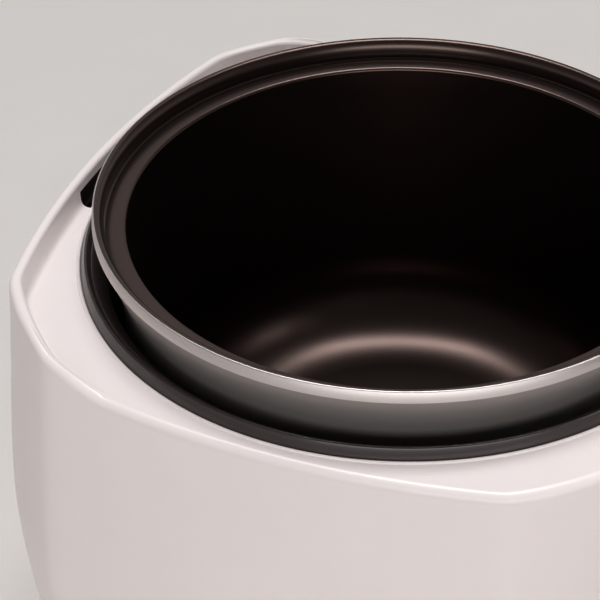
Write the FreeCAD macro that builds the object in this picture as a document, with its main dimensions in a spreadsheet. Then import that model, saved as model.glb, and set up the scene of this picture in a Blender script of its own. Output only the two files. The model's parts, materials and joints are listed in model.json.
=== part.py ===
import FreeCAD, Part
import math
import os
import re
import Sketcher

# Rice cooker with a hinged lid, modelled with the lid standing open.
# Millimetres, +Z up, front towards -Y. It is drawn about the pot's axis, from the worktop up, and written out
# about the middle of the whole, lid included.

SIZES = {
    # Housing: plan at the deck, and how far each level swells past it
    "deck_height": 156.0,
    "front_crease_radius": 118.6,
    "rear_crease_radius": 114.5,
    "crease_angle": 36.0,
    "panel_radius": 275.0,
    "rear_panel_radius": 170.0,
    "corner_radius": 90.0,
    "shell_bottom": 6.0,
    "low_height": 32.0,
    "belly_height": 92.0,
    "bottom_swell": -9.0,
    "low_swell": -1.5,
    "belly_swell": 4.5,
    "lip_swell": -0.8,
    "shell_wall": 2.6,
    "deck_wall": 2.8,
    # Raised front lip, and the ramps that run it out along the two sides
    "lip_rise": 8.5,
    "lip_thickness": 4.5,
    "ramp_top": 80.0,
    "ramp_foot": 50.0,
    # Latch slot at the lip's foot, with its dark insert
    "slot_length": 38.0,
    "slot_inset": 2.3,
    "slot_width": 5.7,
    "slot_height": 6.5,
    "slot_depth": 14.0,
    "catch_wall": 0.8,
    "keeper_depth": 0.9,
    "keeper_height": 3.0,
    # Collar round the pot opening
    "collar_radius": 96.8,
    "collar_ridge_radius": 95.0,
    "collar_ridge_height": 3.0,
    "collar_ridge_round": 0.9,
    "collar_groove_radius": 93.6,
    "collar_groove_height": 1.7,
    "collar_lip_radius": 92.2,
    "collar_lip_height": 2.3,
    "collar_bore": 91.0,
    "collar_fit": 0.1,
    "spigot_radius": 92.7,
    "spigot_depth": 8.0,
    # Liner cup
    "liner_bore": 89.5,
    "liner_wall": 0.8,
    "liner_flange": 92.5,
    "liner_hole": 30.0,
    # Pot
    "rim_rise": 19.8,
    "rim_radius": 92.2,
    "rim_top_radius": 91.8,
    "band_height": 3.5,
    "rim_land": 1.2,
    "groove_radius": 87.9,
    "groove_drop": 3.9,
    "bead_radius": 84.3,
    "bead_drop": 6.6,
    "bead_round": 1.2,
    "mouth_radius": 83.3,
    "flare_drop": 15.0,
    "flare_radius": 15.0,
    "pot_depth": 104.5,
    "pot_wall": 2.4,
    "pot_floor": 2.5,
    "pot_taper": 3.4,
    "pot_floor_round": 20.0,
    # Heater and spring-loaded sensor
    "plate_radius": 72.0,
    "plate_thickness": 8.0,
    "plate_round": 2.0,
    "element_radius": 50.0,
    "element_width": 8.0,
    "element_depth": 5.0,
    "terminal_radius": 2.5,
    "terminal_length": 10.0,
    "terminal_spread": 32.0,
    "terminal_gap": 1.5,
    "post_length": 6.0,
    "post_radius": 4.0,
    "post_circle": 62.0,
    "sensor_radius": 18.0,
    "sensor_gap": 0.5,
    "sensor_height": 11.0,
    "sensor_wall": 1.2,
    "sensor_flange": 21.0,
    "spring_radius": 8.0,
    "spring_wire": 0.9,
    "spring_turns": 5.0,
    "bracket_drop": 10.0,
    "bracket_width": 20.0,
    "bracket_sheet": 1.2,
    "bracket_reach": 36.0,
    "fuse_length": 24.0,
    "fuse_width": 6.0,
    "fuse_height": 5.0,
    "fuse_offset": 33.0,
    # Base
    "base_thickness": 3.0,
    "base_gap": 0.4,
    "boss_circle": 100.0,
    "boss_radius": 6.0,
    "boss_height": 18.0,
    "boss_rib": 3.0,
    "screw_radius": 1.8,
    "screw_head_radius": 3.4,
    "screw_head": 1.8,
    "screw_length": 14.0,
    "screw_gap": 0.1,
    "foot_circle": 84.0,
    "foot_radius": 8.0,
    "foot_peg": 3.0,
    "foot_gap": 0.1,
    "foot_round": 1.2,
    "vent_length": 46.0,
    "vent_width": 4.0,
    "vent_pitch": 10.0,
    "vent_count": 7.0,
    # Power inlet at the rear
    "inlet_side": 0.0,
    "inlet_height": 40.0,
    "inlet_width": 28.0,
    "inlet_tall": 22.0,
    "inlet_length": 22.0,
    "inlet_proud": 0.4,
    "inlet_wall": 2.2,
    "inlet_gap": 0.2,
    "inlet_flange": 3.0,
    "inlet_flange_sheet": 2.0,
    "inlet_setback": 6.5,
    "pin_radius": 2.0,
    "pin_spread": 11.0,
    "pin_length": 14.0,
    # Control panel at the front
    "panel_height": 86.0,
    "panel_width": 84.0,
    "panel_tall": 38.0,
    "panel_round": 17.0,
    "panel_proud": 0.8,
    "panel_gap": 0.2,
    "panel_flange": 3.0,
    "panel_sheet": 1.8,
    "button_radius": 8.5,
    "button_gap": 0.3,
    "button_spread": 22.0,
    "button_proud": 1.8,
    "button_length": 10.1,
    "button_round": 1.4,
    "button_flange": 10.5,
    "button_flange_sheet": 1.2,
    "button_stem": 3.0,
    "button_travel": 0.8,
    "lens_radius": 2.0,
    "lens_spread": 5.0,
    "lens_length": 6.0,
    "lens_gap": 0.05,
    "board_sheet": 1.6,
    "board_setback": 15.0,
    "board_margin": 5.0,
    "switch_side": 6.0,
    "switch_tall": 3.4,
    "stud_radius": 2.2,
    "stud_inset": 13.0,
    # Power board on the base
    "power_width": 76.0,
    "power_deep": 50.0,
    "power_setback": 36.0,
    "power_lift": 8.0,
    "power_post": 3.0,
    "power_post_inset": 5.0,
    "relay_side": 18.0,
    "relay_tall": 15.0,
    "relay_offset": 20.0,
    "choke_side": 24.0,
    "choke_tall": 16.0,
    "choke_offset": 19.0,
    "capacitor_radius": 6.0,
    "capacitor_tall": 15.0,
    # Hinge at the rear
    "hinge_back": 112.0,
    "hinge_rise": 1.0,
    "hinge_pin_radius": 3.0,
    "hinge_fit": 0.05,
    "ear_inside": 30.0,
    "ear_width": 13.0,
    "ear_radius": 7.0,
    "ear_drop": 24.0,
    "knuckle_radius": 6.4,
    "knuckle_gap": 0.4,
    "knuckle_split": 11.0,
    "notch_gap": 0.8,
    "coil_radius": 4.2,
    "coil_wire": 0.8,
    "coil_turns": 6.0,
    "coil_length": 16.0,
    "pocket_depth": 6.0,
    "open_angle": 100.0,
    # Lid
    "lid_tall": 44.0,
    "lid_wall": 2.4,
    "parting_gap": 0.8,
    "shoulder_height": 20.0,
    "shoulder_swell": -2.0,
    "brow_height": 33.0,
    "brow_swell": -9.0,
    "crown_height": 40.5,
    "crown_swell": -22.0,
    "top_swell": -42.0,
    "skirt_inset": 6.0,
    "liner_gap": 0.2,
    "lid_floor": 3.4,
    "room_inset": 8.4,
    "collar_clearance": 1.0,
    "collar_headroom": 2.0,
    "rim_headroom": 2.7,
    "inner_lid_radius": 88.0,
    "inner_lid_sheet": 1.0,
    "inner_lid_dish": 1.6,
    "inner_lid_rim": 8.0,
    "inner_lid_slope": 4.0,
    "steam_hole": 3.0,
    "steam_hole_circle": 14.0,
    "steam_hole_count": 6.0,
    "gasket_outer": 94.6,
    "gasket_inner": 88.2,
    "gasket_gap": 0.4,
    "gasket_sheet": 1.2,
    "gasket_lip_radius": 91.2,
    "gasket_lip_width": 1.4,
    "steam_setback": 18.0,
    "steam_radius": 22.0,
    "steam_proud": 3.0,
    "steam_round": 1.4,
    "steam_tube": 9.0,
    "steam_bore": 6.5,
    "steam_gap": 0.2,
    "steam_slot": 20.0,
    "steam_slot_width": 2.6,
    # Latch button in the lid's front
    "latch_width": 34.0,
    "latch_low": 12.0,
    "latch_high": 27.0,
    "latch_gap": 0.4,
    "latch_proud": 0.6,
    "latch_depth": 8.0,
    "latch_pin_radius": 1.5,
    "latch_pin_setback": 5.3,
    "latch_pin_rise": 26.5,
    "latch_eye": 2.4,
    "latch_room": 3.0,
    "latch_pin_grip": 5.0,
    "latch_boss_wall": 1.5,
    "latch_fit": 0.05,
    "hook_width": 28.0,
    "hook_gap": 0.3,
    "hook_sheet": 1.6,
    "hook_toe": 1.0,
    "hook_toe_tall": 1.8,
    "hook_drop": 8.0,
    "hook_back_gap": 1.5,
    "hook_side_gap": 3.4,
    "channel_wall": 1.8,
    "leaf_width": 10.0,
    "leaf_sheet": 0.5,
    "leaf_gap": 0.3,
    "leaf_drop": 6.0,
    "leaf_length": 10.5,
    # A half-round end is drawn with a radius this much over half its width
    "round_slack": 0.0001,
}

doc = FreeCAD.newDocument("rice_cooker")
sheet = doc.addObject("Spreadsheet::Sheet", "sizes")
for row, (name, size) in enumerate(SIZES.items(), start=1):
    sheet.set(f"A{row}", name)
    sheet.set(f"B{row}", str(size))
    sheet.setAlias(f"B{row}", name)
doc.recompute()

pieces = []


def formula(text):
    """Turn a formula in plain size names into one that reads the sheet."""
    return re.sub(r"[a-z_]+", lambda word: "sizes." + word[0] if word[0] in SIZES else word[0], str(text))


def value(text):
    """Work out a formula as a number."""
    result = sheet.evalExpression(formula(text))
    return float(getattr(result, "Value", result))


def bind(item, **properties):
    """Tie properties of a document object to formulas."""
    for name, text in properties.items():
        item.setExpression(name, formula(text))


def place(item, x=0, y=0, z=0):
    """Tie an object's position to formulas."""
    item.setExpression(".Placement.Base.x", formula(x))
    item.setExpression(".Placement.Base.y", formula(y))
    item.setExpression(".Placement.Base.z", formula(z))


def piece(item, label):
    """Name a finished piece: its label is its file's name."""
    item.Label = label
    pieces.append(item)
    return item


TURN = {
    "XY": FreeCAD.Rotation(),
    "XZ": FreeCAD.Rotation(FreeCAD.Vector(1, 0, 0), 90),
    "YZ": FreeCAD.Rotation(FreeCAD.Vector(1, 1, 1), 120),
}
LEVEL = {"XY": ".Placement.Base.z", "XZ": ".Placement.Base.y", "YZ": ".Placement.Base.x"}


def arc_between(start, end, radius):
    """Arc from start to end: a positive radius bulges to the right of the way, a negative one to the left."""
    chord = end - start
    half = chord.Length / 2
    side = FreeCAD.Vector(chord.y, -chord.x, 0).normalize()
    sagitta = abs(radius) - math.sqrt(radius * radius - half * half)
    middle = (start + end) * 0.5 + side * math.copysign(sagitta, radius)
    return Part.Arc(start, middle, end).toShape().Curve, middle


def draw(sketch, corners):
    """Draw a closed outline whose corners, and the radius of each arc, follow formulas.

    A corner is (x, y), or (x, y, radius) where an arc leads on to the next corner.
    """
    points = [FreeCAD.Vector(value(c[0]), value(c[1]), 0) for c in corners]
    ends = []
    for index, corner in enumerate(corners):
        start = points[index]
        end = points[(index + 1) % len(points)]
        if len(corner) == 2:
            line = sketch.addGeometry(Part.LineSegment(start, end), False)
            ends.append((line, 1, 2))
            continue
        circle, middle = arc_between(start, end, value(corner[2]))
        spread = [math.atan2((p - circle.Center).y, (p - circle.Center).x) for p in (start, middle, end)]
        forward = (spread[1] - spread[0]) % math.tau < (spread[2] - spread[0]) % math.tau
        low, high = (spread[0], spread[2]) if forward else (spread[2], spread[0])
        flat = Part.Circle(circle.Center, FreeCAD.Vector(0, 0, 1), circle.Radius)
        arc = sketch.addGeometry(Part.ArcOfCircle(flat, low, high), False)
        rule = sketch.addConstraint(Sketcher.Constraint("Radius", arc, circle.Radius))
        sketch.setExpression(f"Constraints[{rule}]", formula(f"abs({corner[2]})"))
        ends.append((arc, 1, 2) if forward else (arc, 2, 1))
    for index, corner in enumerate(corners):
        edge, first, last = ends[index]
        before = ends[index - 1]
        sketch.addConstraint(Sketcher.Constraint("Coincident", before[0], before[2], edge, first))
        for kind, text in (("DistanceX", corner[0]), ("DistanceY", corner[1])):
            rule = sketch.addConstraint(Sketcher.Constraint(kind, -1, 1, edge, first, value(text)))
            sketch.setExpression(f"Constraints[{rule}]", formula(text))
    return sketch


def outline(label, corners, plane="XY", level=0):
    """A free sketch on a plane, at a level along that plane's axis."""
    sketch = doc.addObject("Sketcher::SketchObject", label)
    sketch.Placement = FreeCAD.Placement(FreeCAD.Vector(), TURN[plane])
    sketch.setExpression(LEVEL[plane], formula(level))
    return draw(sketch, corners)


def turned(label, corners):
    """A turned piece: half its section, as radius and height, swept about the Z axis."""
    body = doc.addObject("PartDesign::Body", label + "_body")
    sketch = body.newObject("Sketcher::SketchObject", label + "_section")
    plane = next(p for p in body.Origin.OriginFeatures if p.Role == "XZ_Plane")
    sketch.AttachmentSupport = (plane, "")
    sketch.MapMode = "FlatFace"
    doc.recompute()
    draw(sketch, corners)
    turn = body.newObject("PartDesign::Revolution", label + "_turn")
    turn.Profile = sketch
    turn.ReferenceAxis = (sketch, ["V_Axis"])
    turn.Angle = 360
    sketch.Visibility = False
    return body


def extruded(label, sketch, length, both_ways=False):
    """A sketch drawn out along its normal."""
    solid = doc.addObject("Part::Extrusion", label)
    solid.Base = sketch
    solid.DirMode = "Normal"
    solid.Solid = True
    solid.Symmetric = both_ways
    bind(solid, LengthFwd=length)
    return solid


def loft(label, sections):
    """A smooth solid through closed sketches."""
    solid = doc.addObject("Part::Loft", label)
    solid.Sections = sections
    solid.Solid = True
    solid.Ruled = False
    return solid


def block(label, x, y, z):
    """A box between two formulas along each axis."""
    box = doc.addObject("Part::Box", label)
    bind(box, Length=f"({x[1]}) - ({x[0]})", Width=f"({y[1]}) - ({y[0]})", Height=f"({z[1]}) - ({z[0]})")
    place(box, x[0], y[0], z[0])
    return box


AXIS = {
    "X": FreeCAD.Rotation(FreeCAD.Vector(0, 1, 0), 90),
    "Y": FreeCAD.Rotation(FreeCAD.Vector(1, 0, 0), -90),
    "Z": FreeCAD.Rotation(),
}


def rod(label, radius, length, x=0, y=0, z=0, along="Z"):
    """A cylinder that starts at a point and runs along an axis."""
    cylinder = doc.addObject("Part::Cylinder", label)
    bind(cylinder, Radius=radius, Height=length)
    cylinder.Placement = FreeCAD.Placement(FreeCAD.Vector(), AXIS[along])
    place(cylinder, x, y, z)
    return cylinder


def cut(label, base, *tools):
    result = doc.addObject("Part::Cut", label)
    result.Base = base
    result.Tool = tools[0] if len(tools) == 1 else fuse(label + "_tools", *tools)
    return result


def fuse(label, *shapes):
    result = doc.addObject("Part::MultiFuse", label)
    result.Shapes = list(shapes)
    return result


def common(label, *shapes):
    result = doc.addObject("Part::MultiCommon", label)
    result.Shapes = list(shapes)
    return result


def group(label, *shapes):
    """Separate like solids kept as one piece."""
    result = doc.addObject("Part::Compound", label)
    result.Links = list(shapes)
    return result


def rounded(label, base, radius, wanted):
    """Round the edges that wanted() picks."""
    doc.recompute()
    result = doc.addObject("Part::Fillet", label)
    result.Base = base
    size = value(radius)
    edges = [n for n, edge in enumerate(base.Shape.Edges, start=1) if wanted(edge)]
    result.Edges = [(n, size, size) for n in edges]
    return result


def around(label, circle, count, make, first=0):
    """Like solids made at equal steps round the pot's axis."""
    steps = [first + 360 / count * n for n in range(count)]
    return [make(f"{label}_{n}", f"{circle} * cos({a})", f"{circle} * sin({a})") for n, a in enumerate(steps)]


# Housing forms


def plan(label, swell, level):
    """The housing's plan: four bulged panels and four narrow corner strips, swollen or drawn in."""
    grow = f"((front_crease_radius + ({swell})) / front_crease_radius)"
    front_out = f"{grow} * front_crease_radius * cos(crease_angle)"
    front_in = f"{grow} * front_crease_radius * sin(crease_angle)"
    rear_out = f"{grow} * rear_crease_radius * cos(crease_angle)"
    rear_in = f"{grow} * rear_crease_radius * sin(crease_angle)"
    panel = f"{grow} * panel_radius"
    strip = f"{grow} * corner_radius"
    corners = [
        (f"-{front_in}", f"-{front_out}", panel),
        (front_in, f"-{front_out}", strip),
        (front_out, f"-{front_in}", panel),
        (rear_out, rear_in, strip),
        (rear_in, rear_out, f"{grow} * rear_panel_radius"),
        (f"-{rear_in}", rear_out, strip),
        (f"-{rear_out}", rear_in, panel),
        (f"-{front_out}", f"-{front_in}", strip),
    ]
    return outline(label, corners, "XY", level)


def housing_form(label, offset, top):
    """The housing's barrel, offset from its outer face, up to a level above the belly."""
    levels = [
        ("shell_bottom", "bottom_swell"),
        ("low_height", "low_swell"),
        ("belly_height", "belly_swell"),
        ("deck_height - deck_wall", "0"),
    ]
    if top != "deck_height - deck_wall":
        levels.append((top, "lip_swell"))
    sections = [
        plan(f"{label}_{n}", f"{swell} + ({offset})", level)
        for n, (level, swell) in enumerate(levels)
    ]
    return loft(label, sections)


LIP_TOP = "deck_height + lip_rise"
RIM_TOP = "deck_height + rim_rise"
HINGE_Z = "deck_height + hinge_rise"
FAR = 150
HIGH = 300

front_bow = "(panel_radius - sqrt(panel_radius^2 - (front_crease_radius * sin(crease_angle))^2))"
FRONT_REACH = f"(front_crease_radius * cos(crease_angle) + {front_bow})"
rear_bow = "(rear_panel_radius - sqrt(rear_panel_radius^2 - (rear_crease_radius * sin(crease_angle))^2))"
REAR_REACH = f"(rear_crease_radius * cos(crease_angle) + {rear_bow})"
BELLY_REACH = f"({FRONT_REACH} * (front_crease_radius + belly_swell) / front_crease_radius)"


def above_deck(label, lift):
    """The space over the deck and over the lip's ramps, lifted by a gap."""
    side = [
        ("-ramp_foot", f"deck_height + {lift}"),
        (FAR, f"deck_height + {lift}"),
        (FAR, HIGH),
        (-FAR, HIGH),
        (-FAR, f"{LIP_TOP} + {lift}"),
        ("-ramp_top", f"{LIP_TOP} + {lift}"),
    ]
    return extruded(label, outline(label + "_side", side, "YZ"), 2 * FAR, both_ways=True)


outer_form = housing_form("outer_form", "0", LIP_TOP)
inner_form = housing_form("inner_form", "-shell_wall", "deck_height - deck_wall")

# Outer shell: one white moulding, with the deck, the raised front lip and the rear hinge ears

inside_lip = extruded("inside_lip", plan("inside_lip_plan", "-lip_thickness", "deck_height"), "lip_rise + 1")
shell_blank = cut("shell_blank", outer_form, above_deck("deck_space", "0"), inside_lip)


def hinge_ear(label, start):
    """A hinge ear: a round eye on a stem that leans out of the rear wall."""
    side = [
        ("hinge_back - ear_radius", HINGE_Z),
        (f"{REAR_REACH} - pocket_depth", "deck_height - deck_wall / 2"),
        (f"{REAR_REACH} - pocket_depth", f"{HINGE_Z} - ear_drop"),
        ("hinge_back + ear_radius", f"{HINGE_Z} - ear_radius"),
        ("hinge_back + ear_radius", HINGE_Z, "ear_radius + round_slack"),
    ]
    return extruded(label, outline(label + "_side", side, "YZ", start), "ear_width")


ears = [
    hinge_ear("right_ear", "ear_inside"),
    hinge_ear("left_ear", "-ear_inside - ear_width"),
]


def boss(label, x, y):
    return rod(label, "boss_radius", "boss_height", x, y, "shell_bottom + base_thickness")


def boss_rib(label, angle):
    """A rib that ties a screw boss to its corner of the housing."""
    rib = doc.addObject("Part::Box", label)
    bind(rib, Length="front_crease_radius - boss_circle", Width="boss_rib", Height="boss_height")
    turn = FreeCAD.Rotation(FreeCAD.Vector(0, 0, 1), angle)
    rib.Placement = FreeCAD.Placement(FreeCAD.Vector(), turn)
    x = f"boss_circle * cos({angle}) + boss_rib / 2 * sin({angle})"
    y = f"boss_circle * sin({angle}) - boss_rib / 2 * cos({angle})"
    place(rib, x, y, "shell_bottom + base_thickness")
    return rib


CORNERS = (45, 135, 225, 315)
bosses = around("boss", "boss_circle", 4, boss, first=45)
ribs = [boss_rib(f"boss_rib_{angle}", angle) for angle in CORNERS]
posts = common("corner_posts", fuse("corner_post_blanks", *bosses, *ribs), outer_form)

collar_hole = rod("collar_hole", "spigot_radius + collar_fit", "deck_wall", 0, 0, "deck_height - deck_wall")
SLOT_BACK = f"({FRONT_REACH} - slot_inset)"
SLOT_FRONT = f"({SLOT_BACK} - slot_width)"
latch_slot = block(
    "latch_slot",
    ("-slot_length / 2", "slot_length / 2"),
    (f"-{SLOT_BACK}", f"-{SLOT_FRONT}"),
    ("deck_height - slot_depth", "deck_height + slot_height"),
)


def panel_outline(label, grow):
    """The control panel's rounded window, seen from the front."""
    half = f"(panel_width / 2 + {grow})"
    tall = f"(panel_tall / 2 + {grow})"
    radius = f"(panel_round + {grow})"
    low = f"panel_height - {tall}"
    high = f"panel_height + {tall}"
    corners = [
        (f"-{half} + {radius}", low),
        (f"{half} - {radius}", low, radius),
        (half, f"{low} + {radius}"),
        (half, f"{high} - {radius}", radius),
        (f"{half} - {radius}", high),
        (f"-{half} + {radius}", high, radius),
        (f"-{half}", f"{high} - {radius}"),
        (f"-{half}", f"{low} + {radius}", radius),
    ]
    return extruded(label, outline(label + "_face", corners, "XZ", f"-{BELLY_REACH} / 2"), FAR)


panel_window = panel_outline("panel_window", "panel_gap")
INLET_LOW = "inlet_height - inlet_tall / 2"
INLET_HIGH = "inlet_height + inlet_tall / 2"
inlet_window = block(
    "inlet_window",
    ("inlet_side - inlet_width / 2 - inlet_gap", "inlet_side + inlet_width / 2 + inlet_gap"),
    (f"{REAR_REACH} / 2", FAR),
    (f"{INLET_LOW} - inlet_gap", f"{INLET_HIGH} + inlet_gap"),
)
screw_holes = [
    rod(f"boss_hole_{n}", "screw_radius + screw_gap", "boss_height", f"boss_circle * cos({a})",
        f"boss_circle * sin({a})", "shell_bottom")
    for n, a in enumerate(CORNERS)
]
ear_hole = rod("ear_hole", "hinge_pin_radius + hinge_fit", 2 * FAR, -FAR, "hinge_back", HINGE_Z, "X")
hinge_pocket = common("hinge_pocket", outer_form, block(
    "hinge_pocket_block",
    ("-ear_inside", "ear_inside"),
    (f"{REAR_REACH} - pocket_depth", FAR),
    (f"{HINGE_Z} - knuckle_radius - notch_gap - shell_wall", "deck_height"),
))
hinge_relief = rod("hinge_relief", "knuckle_radius + notch_gap", "2 * ear_inside",
                   "-ear_inside", "hinge_back", HINGE_Z, "X")
shell_open = cut("shell_open", shell_blank, inner_form)
shell_full = fuse("shell_full", shell_open, posts, hinge_pocket, *ears)
shell = cut("shell", shell_full, collar_hole, latch_slot, panel_window, inlet_window, *screw_holes, ear_hole,
            hinge_relief)
outer_shell = piece(shell, "outer_shell")

# Latch catch: a dark insert that lines the slot and carries the keeper ledge

catch_block = block(
    "catch_block",
    ("-slot_length / 2", "slot_length / 2"),
    (f"-{SLOT_BACK}", f"-{SLOT_FRONT}"),
    ("deck_height - slot_depth", "deck_height - deck_wall"),
)
catch_room = block(
    "catch_room",
    ("-slot_length / 2 + catch_wall", "slot_length / 2 - catch_wall"),
    (f"-{SLOT_BACK} + catch_wall", f"-{SLOT_FRONT} + catch_wall"),
    ("deck_height - slot_depth + catch_wall", "deck_height"),
)
keeper = block(
    "keeper",
    ("-slot_length / 2 + catch_wall", "slot_length / 2 - catch_wall"),
    (f"-{SLOT_BACK} + catch_wall", f"-{SLOT_BACK} + catch_wall + keeper_depth"),
    ("deck_height - deck_wall - keeper_height", "deck_height - deck_wall"),
)
catch_back = block(
    "catch_back",
    ("-slot_length / 2", "slot_length / 2"),
    (f"-{SLOT_BACK}", f"-{SLOT_BACK} + catch_wall"),
    ("deck_height - deck_wall", "deck_height + slot_height"),
)
piece(fuse("catch", cut("catch_tray", catch_block, catch_room), keeper, catch_back), "latch_catch")

# Collar: a dark ring that drops into the deck's hole, with a rounded ridge, a fine groove and an inner lip

SPIGOT_LOW = "deck_height - spigot_depth"
collar = turned("collar", [
    ("collar_bore", SPIGOT_LOW),
    ("spigot_radius", SPIGOT_LOW),
    ("spigot_radius", "deck_height"),
    ("collar_radius", "deck_height"),
    ("collar_ridge_radius + collar_ridge_round", "deck_height + collar_ridge_height - collar_ridge_round",
     "collar_ridge_round"),
    ("collar_ridge_radius", "deck_height + collar_ridge_height"),
    ("collar_groove_radius", "deck_height + collar_groove_height"),
    ("collar_lip_radius", "deck_height + collar_lip_height"),
    ("collar_bore", "deck_height + collar_lip_height"),
])
piece(collar, "pot_collar")

# Liner: a thin metal cup that hangs under the collar and carries the heater

POT_FLOOR = f"({RIM_TOP} - pot_depth)"
POT_BOTTOM = f"({POT_FLOOR} - pot_floor)"
PLATE_LOW = f"({POT_BOTTOM} - plate_thickness)"
LINER_FLOOR_TOP = f"({PLATE_LOW} - post_length)"
LINER_FLOOR = f"({LINER_FLOOR_TOP} - liner_wall)"
LINER_OUT = "liner_bore + liner_wall"
liner = turned("liner", [
    ("liner_hole", LINER_FLOOR),
    (LINER_OUT, LINER_FLOOR),
    (LINER_OUT, f"{SPIGOT_LOW} - liner_wall"),
    ("liner_flange", f"{SPIGOT_LOW} - liner_wall"),
    ("liner_flange", SPIGOT_LOW),
    ("liner_bore", SPIGOT_LOW),
    ("liner_bore", LINER_FLOOR_TOP),
    ("liner_hole", LINER_FLOOR_TOP),
])


def terminal_pair(label, radius, low, length):
    """Two upright rods, where the heating element's terminals stand."""
    return [
        rod(f"{label}_{n}", radius, length, f"element_radius * sin({side} * terminal_spread / 2)",
            f"-element_radius * cos({side} * terminal_spread / 2)", low)
        for n, side in enumerate((-1, 1))
    ]


terminal_holes = terminal_pair("terminal_hole", "terminal_radius + terminal_gap", LINER_FLOOR, "liner_wall")
piece(cut("liner_holed", liner, *terminal_holes), "inner_liner")

# Pot: turned rim band, flared outside, stepped mouth, tapered wall and a well-rounded floor

WALL_FOOT = "(mouth_radius - pot_taper)"
OUT_TOP = "(mouth_radius + pot_wall)"
OUT_FOOT = f"({WALL_FOOT} + pot_wall)"
OUT_ROUND = "(pot_floor_round + pot_wall)"
pot = turned("pot", [
    (0, POT_BOTTOM),
    (f"{OUT_FOOT} - {OUT_ROUND}", POT_BOTTOM, f"{OUT_ROUND}"),
    (OUT_FOOT, f"{POT_BOTTOM} + {OUT_ROUND}"),
    (OUT_TOP, f"{RIM_TOP} - flare_drop", "-flare_radius"),
    ("rim_radius", f"{RIM_TOP} - band_height"),
    ("rim_top_radius", RIM_TOP),
    ("rim_top_radius - rim_land", RIM_TOP),
    ("groove_radius", f"{RIM_TOP} - groove_drop"),
    ("bead_radius + bead_round", f"{RIM_TOP} - bead_drop", "bead_round"),
    ("bead_radius", f"{RIM_TOP} - bead_drop - bead_round"),
    ("mouth_radius", f"{RIM_TOP} - flare_drop"),
    (WALL_FOOT, f"{POT_FLOOR} + pot_floor_round", "-pot_floor_round"),
    (f"{WALL_FOOT} - pot_floor_round", POT_FLOOR),
    (0, POT_FLOOR),
])
piece(pot, "inner_pot")

# Heater plate: a cast disc under the pot, with the element's groove below and the sensor's hole

ELEMENT_IN = "(element_radius - element_width / 2)"
ELEMENT_OUT = "(element_radius + element_width / 2)"
plate = turned("plate", [
    ("sensor_radius + sensor_gap", PLATE_LOW),
    (ELEMENT_IN, PLATE_LOW),
    (ELEMENT_IN, f"{PLATE_LOW} + element_depth"),
    (ELEMENT_OUT, f"{PLATE_LOW} + element_depth"),
    (ELEMENT_OUT, PLATE_LOW),
    ("plate_radius", PLATE_LOW),
    ("plate_radius", f"{POT_BOTTOM} - plate_round", "plate_round"),
    ("plate_radius - plate_round", POT_BOTTOM),
    ("sensor_radius + sensor_gap", POT_BOTTOM),
])
piece(plate, "heater_plate")

# Heating element: a ring pressed into the plate's groove, with two terminals

element_ring = turned("element_ring", [
    (ELEMENT_IN, PLATE_LOW),
    (ELEMENT_OUT, PLATE_LOW),
    (ELEMENT_OUT, f"{PLATE_LOW} + element_depth"),
    (ELEMENT_IN, f"{PLATE_LOW} + element_depth"),
])
terminals = terminal_pair(
    "terminal", "terminal_radius", f"{PLATE_LOW} - terminal_length", "terminal_length + element_depth / 2")
piece(fuse("element", element_ring, *terminals), "heating_element")


def plate_post(label, x, y):
    return rod(label, "post_radius", "post_length", x, y, LINER_FLOOR_TOP)


piece(group("posts", *around("plate_post", "post_circle", 3, plate_post, first=90)), "plate_posts")

piece(block(
    "fuse_body",
    ("-fuse_length / 2", "fuse_length / 2"),
    ("fuse_offset - fuse_width / 2", "fuse_offset + fuse_width / 2"),
    (f"{PLATE_LOW} - fuse_height", PLATE_LOW),
), "thermal_fuse")

# Sensor: a metal cup pushed up against the pot's floor by a spring on a bracket

SENSOR_LOW = f"({POT_BOTTOM} - sensor_height)"
sensor = turned("sensor", [
    (0, f"{POT_BOTTOM} - sensor_wall"),
    ("sensor_radius - sensor_wall", f"{POT_BOTTOM} - sensor_wall"),
    ("sensor_radius - sensor_wall", SENSOR_LOW),
    ("sensor_flange", SENSOR_LOW),
    ("sensor_flange", f"{SENSOR_LOW} + sensor_wall"),
    ("sensor_radius", f"{SENSOR_LOW} + sensor_wall"),
    ("sensor_radius", POT_BOTTOM),
    (0, POT_BOTTOM),
])
piece(sensor, "sensor_cup")

BRACKET_LOW = f"({LINER_FLOOR} - bracket_drop)"
BRACKET_TOP = f"({BRACKET_LOW} + bracket_sheet)"
BRACKET_Y = ("-bracket_width / 2", "bracket_width / 2")
bracket_strap = block(
    "bracket_strap", ("-bracket_reach", "bracket_reach"), BRACKET_Y, (BRACKET_LOW, BRACKET_TOP))
bracket_legs = [
    block(f"bracket_leg_{n}", x, BRACKET_Y, (BRACKET_LOW, LINER_FLOOR))
    for n, x in enumerate((
        ("-bracket_reach", "-bracket_reach + bracket_sheet"),
        ("bracket_reach - bracket_sheet", "bracket_reach"),
    ))
]
bracket_feet = [
    block(f"bracket_foot_{n}", x, BRACKET_Y, (f"{LINER_FLOOR} - bracket_sheet", LINER_FLOOR))
    for n, x in enumerate((
        ("-bracket_reach - bracket_width / 2", "-bracket_reach + bracket_sheet"),
        ("bracket_reach - bracket_sheet", "bracket_reach + bracket_width / 2"),
    ))
]
piece(fuse("bracket", bracket_strap, *bracket_legs, *bracket_feet), "sensor_bracket")


def bend(start, way, end):
    """Centre, axis and angle of the arc that leaves a point along a direction and ends at another point."""
    chord = end - start
    inward = (chord - way * chord.dot(way)).normalize()
    radius = chord.dot(chord) / (2 * chord.dot(inward))
    angle = 2 * math.degrees(math.atan2(chord.dot(inward), chord.dot(way)))
    return start + inward * radius, way.cross(inward), angle


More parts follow.
